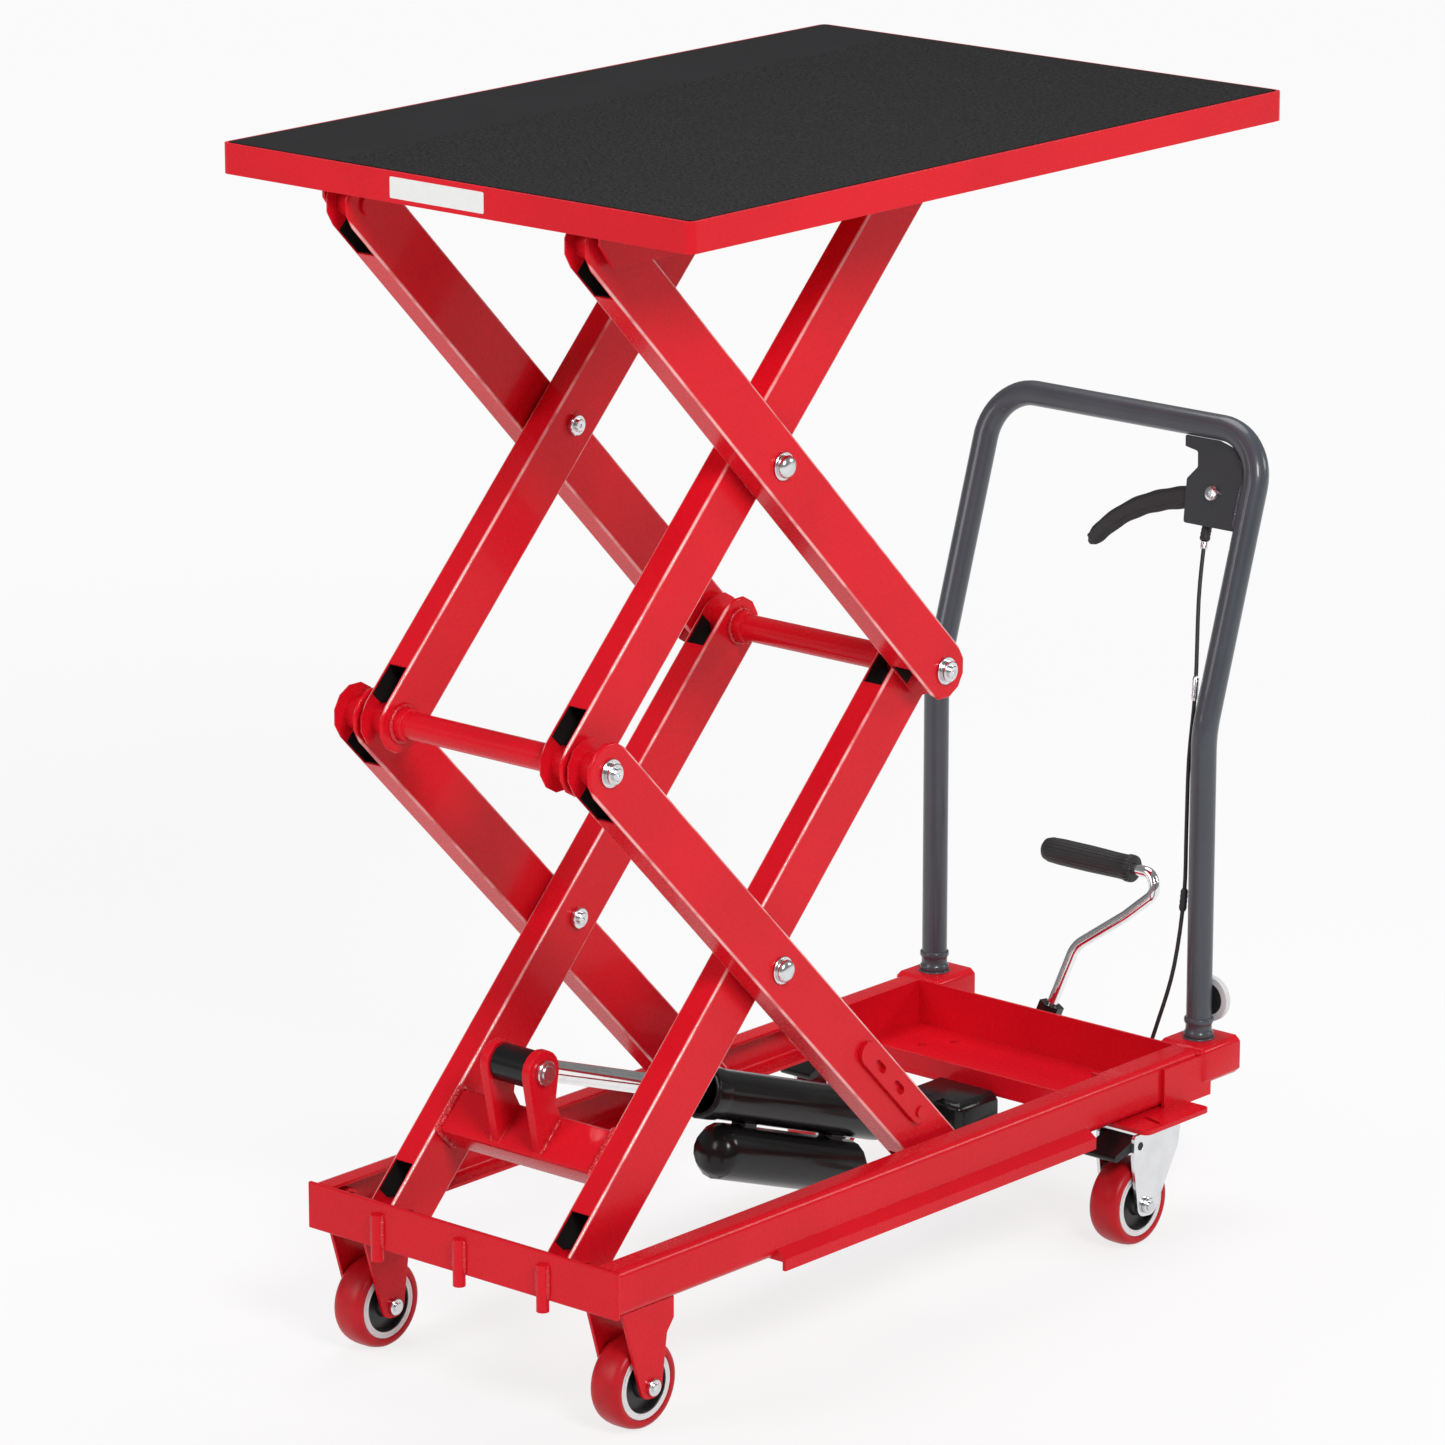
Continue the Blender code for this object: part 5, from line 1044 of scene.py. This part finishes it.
class LIFTTABLE_OT_wheels(bpy.types.Operator):
    """Tyres, hubs, axles, rear forks and brake pedals"""

    bl_idname = "lift_table.wheels"
    bl_label = "Wheels"

    tyre_half = ((0.0355, 0.0172), (0.0372, 0.0179), (0.0400, 0.0180), (0.0424, 0.0168), (0.0441, 0.0143),
                 (0.0453, 0.0105), (0.0459, 0.0062), (WHEEL_RADIUS, 0.0022))
    hub_half = ((0.0053, 0.0205), (0.0108, 0.0205), (0.0116, 0.0196), (0.0140, 0.0120), (0.0205, 0.0106),
                (0.0262, 0.0102), (0.0272, 0.0120), (0.0276, 0.0164), (0.0284, 0.0171), (0.0312, 0.0166),
                (0.0318, 0.0171), (0.0346, 0.0171), (0.0352, 0.0165))
    axle_half = ((0.0081, 0.0), (0.0085, 0.0004), (0.0085, 0.0034), (0.0078, 0.0042), (0.0050, 0.0042),
                 (0.0050, 0.0056), (0.0044, 0.0060), (0.0, 0.0060))

    axle_radius = 0.0050
    axle_head = 0.0060
    roll_radius = 0.0093
    roll_edge = 0.0009
    roll_reach = 0.0022

    def execute(self, context):
        zinc = finish_of(bright_zinc)
        red = finish_of(tread_red)
        wheels = [f"{end}_wheel_{label}" for end in ("front", "rear") for label, _ in SIDES]
        tyres = self.set_of(wheels, "_tread", self.tyre_half)
        hubs = self.set_of(wheels, "_core", self.hub_half)
        for wheel, tyre, hub in zip(wheels, tyres, hubs):
            centre = joint_spot(wheel + "_spin")
            attach(tyre, wheel, "red_polyurethane", red, wheel + "_tyre")
            end = wheel.split("_")[0]
            plastic = finish_of(hub_plastic, "hub_plastic_" + end, (0.0, centre.y, centre.z))
            attach(hub, wheel, "black_plastic", plastic, wheel + "_hub")
            self.axle(wheel.replace("wheel", "axle"), centre, zinc)
        finished(["rear_fork_left", "rear_fork_right"], finish_of(bright_zinc, "fork_zinc", 0.92), 0.0008)
        self.brakes(finish_of(gloss_black, "gloss_black", 0.05))
        return {"FINISHED"}

    def set_of(self, wheels, ending, half):
        """One ring for each wheel: the first is turned, and the others are its copies."""
        centres = [joint_spot(wheel + "_spin") for wheel in wheels]
        pieces = [turned(wheels[0] + ending, both_halves(half), centres[0])]
        for wheel, centre in zip(wheels[1:], centres[1:]):
            pieces.append(copied(pieces[0], wheel + ending, centre - centres[0]))
        return pieces

    def axle(self, node, centre, zinc):
        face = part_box(node)[1].x - centre.x - self.axle_head
        bolt = raised(self.axle_half, face)
        profile = [*turned_over(bolt), (self.axle_radius, -face), (self.axle_radius, face), *bolt]
        attach(turned("turned_" + node, profile, centre), BODY_OF[node], "zinc_plate", zinc, node)

    def brakes(self, black):
        """Brake pedals, and the roll that each turns on."""
        finished(["brake_pedal_left", "brake_pedal_right"], black, 0.0022, 4)
        half = WHEEL_HALF + self.roll_reach
        edge = self.roll_edge
        end = ((self.roll_radius, half - edge), (self.roll_radius - edge, half), (0.0, half))
        profile = [*turned_over(end), *end]
        for label, _ in SIDES:
            roll = turned("brake_roll_" + label, profile, joint_spot(f"brake_{label}_press"))
            attach(roll, "brake_" + label, "black_paint", black)


class LIFTTABLE_OT_ram(bpy.types.Operator):
    """Ram, pump and plunger"""

    bl_idname = "lift_table.ram"
    bl_label = "Ram and pump"

    def execute(self, context):
        black = finish_of(gloss_black, "gloss_black", 0.05)
        finished(["ram_barrel"], black, 0.0010)
        finished(["pump_block"], finish_of(gloss_black, "cast_black", 0.35), 0.0012)
        finished(["pump_plunger"], finish_of(bright_zinc), 0.0005)
        self.rod(black)
        return {"FINISHED"}

    def rod(self, black):
        """Chromed rod, and the black eye round the clevis pin."""
        pin = joint_spot("rod_swing")
        tail = joint_spot("barrel_swing")
        line = (tail - pin).normalized()
        across = Vector((0.0, -line.z, line.y))
        rod = [(0.0, 0.0100), (0.0110, 0.0100), (0.0110, 0.3594), (0.0104, 0.3600), (0.0, 0.3600)]
        shaft = turned("ram_rod_shaft", rod, pin, line, across)
        attach(shaft, "ram_rod", "chrome", finish_of(mirror_chrome), "ram_rod")
        half = 0.0220
        eye = ((0.0086, half - 0.0006), (0.0092, half), (0.0178, half), (0.0189, half - 0.0012))
        piece = turned("ram_rod_eye", both_halves(eye), pin)
        attach(piece, "ram_rod", "black_paint", black, "ram_rod")
        ring = [(0.0111, 0.0175), (0.0150, 0.0175), (0.0158, 0.0185), (0.0158, 0.0290), (0.0150, 0.0300),
                (0.0111, 0.0300), (0.0111, 0.0175)]
        collar = turned("ram_rod_collar", ring, pin, line, across)
        attach(collar, "ram_rod", "black_paint", black)


class LIFTTABLE_OT_pedal(bpy.types.Operator):
    """Foot pedal: arm, bent chromed rod and rubber grip"""

    bl_idname = "lift_table.pedal"
    bl_label = "Foot pedal"

    rod_radius = 0.0062
    rod_seat = 0.0119

    def execute(self, context):
        finished(["pedal_arm"], finish_of(gloss_black, "gloss_black", 0.05), 0.0012)
        pin = joint_spot("pedal_press")
        foot = pin + Vector((0.0, 0.228, 0.032))
        knee = foot + Vector((0.0285, 0.021, 0.097))
        heading = (knee - foot).normalized()
        start = foot + heading * self.rod_seat
        grip_z = foot.z + 0.1875
        grip_y = foot.y + 0.050
        grip_end = pin.x + 0.0845
        route = bent([(start, 0.0), (knee, 0.035), (knee + Vector((0.055, 0.016, 0.041)), 0.050),
                      ((grip_end + 0.034, grip_y - 0.004, grip_z - 0.018), 0.015),
                      ((grip_end + 0.022, grip_y, grip_z), 0.012), ((grip_end - 0.030, grip_y, grip_z), 0.0)])
        rod = tube("pedal_rod_bar", route, self.rod_radius, 6)
        attach(rod, "pedal", "chrome", finish_of(mirror_chrome), "pedal_rod")
        self.grip(Vector((grip_end, grip_y, grip_z)))
        return {"FINISHED"}

    def grip(self, end):
        length = 0.122
        bore, depth = 0.0064, 0.0300
        profile = [(0.0, depth), (bore, depth), (bore, 0.0), (0.0128, 0.0), (0.0146, 0.0012),
                   (0.0150, 0.0035), (0.0150, 0.0075), (0.0139, 0.0105), (0.0137, 0.0200), (0.0144, 0.0600),
                   (0.0143, 0.0980), (0.0136, 0.1120), (0.0118, 0.1180), (0.0080, 0.1212), (0.0030, length),
                   (0.0, length)]
        piece = turned("pedal_grip_sleeve", profile, end, -ALONG_X)
        attach(piece, "pedal", "black_rubber", finish_of(grip_rubber, end), "pedal_grip")


class LIFTTABLE_OT_handle(bpy.types.Operator):
    """Push handle, lever bracket, release lever and bumper disc"""

    bl_idname = "lift_table.handle"
    bl_label = "Handle"

    socket_depth = 0.031
    rib = 0.1820
    swell = 1.16
    rib_edge = 1.13
    kink_bend = 0.120
    top_bend = 0.055

    def execute(self, context):
        slate = finish_of(handle_slate)
        foot = BASE_TOP + TRAY_WALL - self.socket_depth + SEAT
        rib = self.rib
        feet = [(foot, 1.0), (rib, 1.0), *self.swollen(rib + 0.001), (rib + 0.008, 1.03), (rib + 0.014, 1.03),
                *self.swollen(rib + 0.016), (rib + 0.022, 1.0)]
        top_y = POST_Y + HANDLE_LEAN
        right = [((POST_X, POST_Y, rib + 0.030), 0.0), ((POST_X, POST_Y, KINK_Z), self.kink_bend),
                 ((POST_X, top_y, HANDLE_TOP_Z), self.top_bend)]
        left = [((-x, y, z), bend) for (x, y, z), bend in reversed(right)]
        bends = bent(right + left, 14)
        route = [Vector((POST_X, POST_Y, z)) for z, _ in feet] + bends
        route += [Vector((-POST_X, POST_Y, z)) for z, _ in reversed(feet)]
        widths = [width for _, width in feet] + [1.0] * len(bends) + [width for _, width in reversed(feet)]
        piece = tube("push_handle", route, TUBE_RADIUS, 8, widths)
        attach(piece, "base", "slate_paint", slate, "handle_tube")
        finished(["lever_bracket"], finish_of(handle_slate, "bracket_slate", 0.42), 0.0008)
        finished(["release_lever"], finish_of(soft_rubber), 0.0038, 4)
        self.lever_grip()
        self.bumper()
        self.bracket_bolt()
        return {"FINISHED"}

    def swollen(self, z):
        """Heights and widths of one rib round the foot of a post."""
        return [(z, self.rib_edge), (z + 0.0008, self.swell), (z + 0.0042, self.swell),
                (z + 0.0050, self.rib_edge)]

    def lever_grip(self):
        """Fuller outer part of the lever with finger scallops, drawn flat and then leaned back."""
        length = HANDLE_LEAN / math.sin(LEAN)
        count = 44
        begin, span = 0.024, 0.1285
        inward, below_top, behind = 0.0489, 0.0696, 0.0084
        thick, flatness = 0.0124, 0.44
        route = []
        widths = []
        for i in range(count + 1):
            share = i / count
            reach = begin + span * share
            drop = 0.20 * reach + 82.0 * reach ** 4
            route.append(Vector((POST_X - inward - reach, length - below_top - drop, 0.0)))
            scallop = 0.03 * math.cos(math.tau * 5.0 * share) if 0.10 < share < 0.90 else 0.0
            end = min(1.0, 0.62 + 3.2 * share, 0.25 + 3.0 * math.sqrt(max(1.0 - share, 0.0)))
            widths.append((1.0 - 0.14 * share + scallop) * end)
        piece = tube("release_lever_grip", route, thick, 6, widths)
        piece.scale = (1.0, 1.0, flatness)
        piece.rotation_euler = (math.pi / 2.0 - LEAN, 0.0, 0.0)
        piece.location = KINK - LEAN_FRONT * behind
        settle(piece)
        attach(piece, "release_lever", "black_paint", finish_of(soft_rubber))

    def bumper(self):
        low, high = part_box("bumper_disc")
        centre = (low + high) / 2.0
        foot = Vector((centre.x, low.y, centre.z))
        profile = [(0.0, 0.0), (0.0240, 0.0), (0.0246, 0.0006), (0.0246, 0.0048), (0.0238, 0.0076),
                   (0.0222, 0.0086), (0.0178, 0.0086), (0.0170, 0.0092), (0.0160, 0.0114), (0.0148, 0.0120),
                   (0.0, 0.0120)]
        piece = turned("bumper_disc_pad", profile, foot, ALONG_Y)
        attach(piece, "base", "black_rubber", finish_of(bumper_rubber, centre), "bumper_disc")

    def bracket_bolt(self):
        """Plated head over the bracket's bolt."""
        pivot = joint_spot("release_squeeze")
        foot = pivot + LEAN_FRONT * 0.0104
        profile = [(0.0, 0.0), (0.0080, 0.0), (0.0082, 0.0004), (0.0082, 0.0030), (0.0074, 0.0044),
                   (0.0052, 0.0052), (0.0024, 0.0053), (0.0022, 0.0047), (0.0, 0.0047)]
        piece = turned("bracket_bolt_head", profile, foot, LEAN_FRONT, ALONG_X)
        attach(piece, "base", "zinc_plate", finish_of(bright_zinc))


class LIFTTABLE_OT_welds(bpy.types.Operator):
    """Rippled weld beads where the plates and tubes meet"""

    bl_idname = "lift_table.welds"
    bl_label = "Welds"

    sunk = 0.0008
    collar_radius = 0.0176
    post_radius = 0.0154
    ear_reach = 0.0330

    def execute(self, context):
        self.bead = size_settings().weld_bead
        self.lug_welds()
        self.crossbar_welds()
        self.collar_welds()
        self.fork_welds()
        self.bracket_weld()
        self.socket_welds()
        self.table_welds()
        return {"FINISHED"}

    def lay(self, name, spots, body, share=1.0, cyclic=False, finish=None, slot="red_paint"):
        """A bead along a line of spots, with a ripple every few millimetres."""
        route = []
        for a, b in zip(spots, spots[1:]):
            count = max(2, round((b - a).length / 0.0016))
            route += [a.lerp(b, i / count) for i in range(count)]
        if not cyclic:
            route.append(spots[-1])
        last = len(route) - 1
        widths = []
        for i in range(len(route)):
            ripple = 0.90 + 0.16 * (i % 2) + 0.10 * math.sin(i * 2.3)
            taper = 1.0 if cyclic else min(1.0, 0.35 + 0.22 * min(i, last - i))
            widths.append(ripple * taper)
        piece = tube(name, route, self.bead * share, 2, widths, cyclic)
        attach(piece, body, slot, finish or finish_of(weld_enamel))

    def lug_welds(self):
        y = BEAM_FACE - 0.0006
        for place, x in (("left", -0.110), ("middle", 0.0), ("right", 0.110)):
            for label, side in SIDES:
                foot = Vector((x + side * 0.0068, y, BASE_BOTTOM + 0.002))
                self.lay(f"lug_weld_{place}_{label}", [foot, foot + UP * 0.034], "base", 0.85)

    def crossbar_welds(self):
        arm = "lower_inner"
        front, rear, low, high = 0.087, 0.137, -0.007, 0.027
        for label, side in SIDES:
            x = side * (INNER_FACE - self.sunk)
            loop = [on_arm(arm, x, front, low), on_arm(arm, x, front, high), on_arm(arm, x, rear, high),
                    on_arm(arm, x, rear, low)]
            self.lay("crossbar_weld_" + label, loop, "lower_inner", 1.25)
            reach = side * self.ear_reach
            line = [on_arm(arm, reach, front + 0.004, high), on_arm(arm, reach, rear - 0.003, high)]
            self.lay(f"ear_weld_{label}", line, "lower_inner", 1.1)

    def collar_welds(self):
        """Rings where the middle cross tubes meet the inner arms."""
        places = (("front_middle", MIDDLE, "upper_inner"), ("rear_middle", REAR_MIDDLE, "lower_inner"))
        for name, spot, body in places:
            for label, side in SIDES:
                centre = Vector((side * (INNER_FACE - self.sunk), spot.y, spot.z))
                ring = ring_of(centre, self.collar_radius, ALONG_Y, UP, 24)
                self.lay(f"{name}_weld_{label}", ring, body, 0.9, True)

    def fork_welds(self):
        for label, side in SIDES:
            low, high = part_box("front_fork_" + label)
            z = BASE_BOTTOM - 0.0012
            line = [Vector((low.x + 0.003, low.y - 0.0004, z)), Vector((high.x - 0.003, low.y - 0.0004, z))]
            self.lay("fork_weld_" + label, line, "base", 0.95)

    def socket_welds(self):
        """Rings at the feet of the posts."""
        for label, side in SIDES:
            centre = Vector((side * POST_X, POST_Y, BASE_TOP + 0.0022))
            ring = ring_of(centre, self.post_radius, ALONG_X, ALONG_Y, 28)
            self.lay("post_weld_" + label, ring, "base", 0.55, True, finish_of(handle_slate), "slate_paint")

    def table_welds(self):
        """Short beads where the pivot ears meet the table's underside."""
        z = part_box("table_frame")[1].z - 0.0312
        for label, side in SIDES:
            for face, x in (("inner", 0.126), ("outer", 0.186)):
                start = Vector((side * x, TABLE_PIVOT.y - 0.020, z))
                self.lay(f"table_weld_{label}_{face}", [start, start + ALONG_Y * 0.050], "table", 0.8)

    def bracket_weld(self):
        start = KINK + ALONG_X * (POST_X - TUBE_RADIUS - 0.0006) + LEAN_FRONT * 0.0024
        line = [start + LEAN_ALONG * 0.214, start + LEAN_ALONG * 0.262]
        # The bead gets a paler copy of the handle's paint, as a painted highlight.
        slate = finish_of(handle_slate, "weld_slate_lit", 1.5)
        self.lay("bracket_weld", line, "base", 1.0, False, slate, "slate_paint")


class LIFTTABLE_PT_panel(bpy.types.Panel):
    """Lists the steps in the order in which they are run"""

    bl_idname = "LIFTTABLE_PT_panel"
    bl_label = "Lift table"
    bl_space_type = "VIEW_3D"
    bl_region_type = "UI"
    bl_category = "Lift table"

    def draw(self, context):
        column = self.layout.column()
        for step in STEPS:
            column.operator(step.bl_idname)
        for name, _ in SETTINGS:
            settings = getattr(context.scene, name)
            for key in settings.bl_rna.properties.keys():
                if key not in ("rna_type", "name"):
                    column.prop(settings, key)


STEPS = (
    LIFTTABLE_OT_stage,
    LIFTTABLE_OT_release_cable,
    LIFTTABLE_OT_base,
    LIFTTABLE_OT_arms,
    LIFTTABLE_OT_table,
    LIFTTABLE_OT_bolts,
    LIFTTABLE_OT_wheels,
    LIFTTABLE_OT_ram,
    LIFTTABLE_OT_pedal,
    LIFTTABLE_OT_handle,
    LIFTTABLE_OT_welds,
)
SETTINGS = (
    ("lift_table_paint", LiftTablePaint),
    ("lift_table_sizes", LiftTableSizes),
    ("lift_table_stage", LiftTableStage),
)


def register():
    for name, group in SETTINGS:
        bpy.utils.register_class(group)
        setattr(bpy.types.Scene, name, bpy.props.PointerProperty(type=group))
    for step in STEPS:
        bpy.utils.register_class(step)
    bpy.utils.register_class(LIFTTABLE_PT_panel)


def unregister():
    bpy.utils.unregister_class(LIFTTABLE_PT_panel)
    for step in reversed(STEPS):
        bpy.utils.unregister_class(step)
    for name, group in SETTINGS:
        delattr(bpy.types.Scene, name)
        bpy.utils.unregister_class(group)


def main():
    register()
    for step in STEPS:
        group, action = step.bl_idname.split(".")
        getattr(getattr(bpy.ops, group), action)()
    lay_down()


if __name__ == "__main__":
    main()
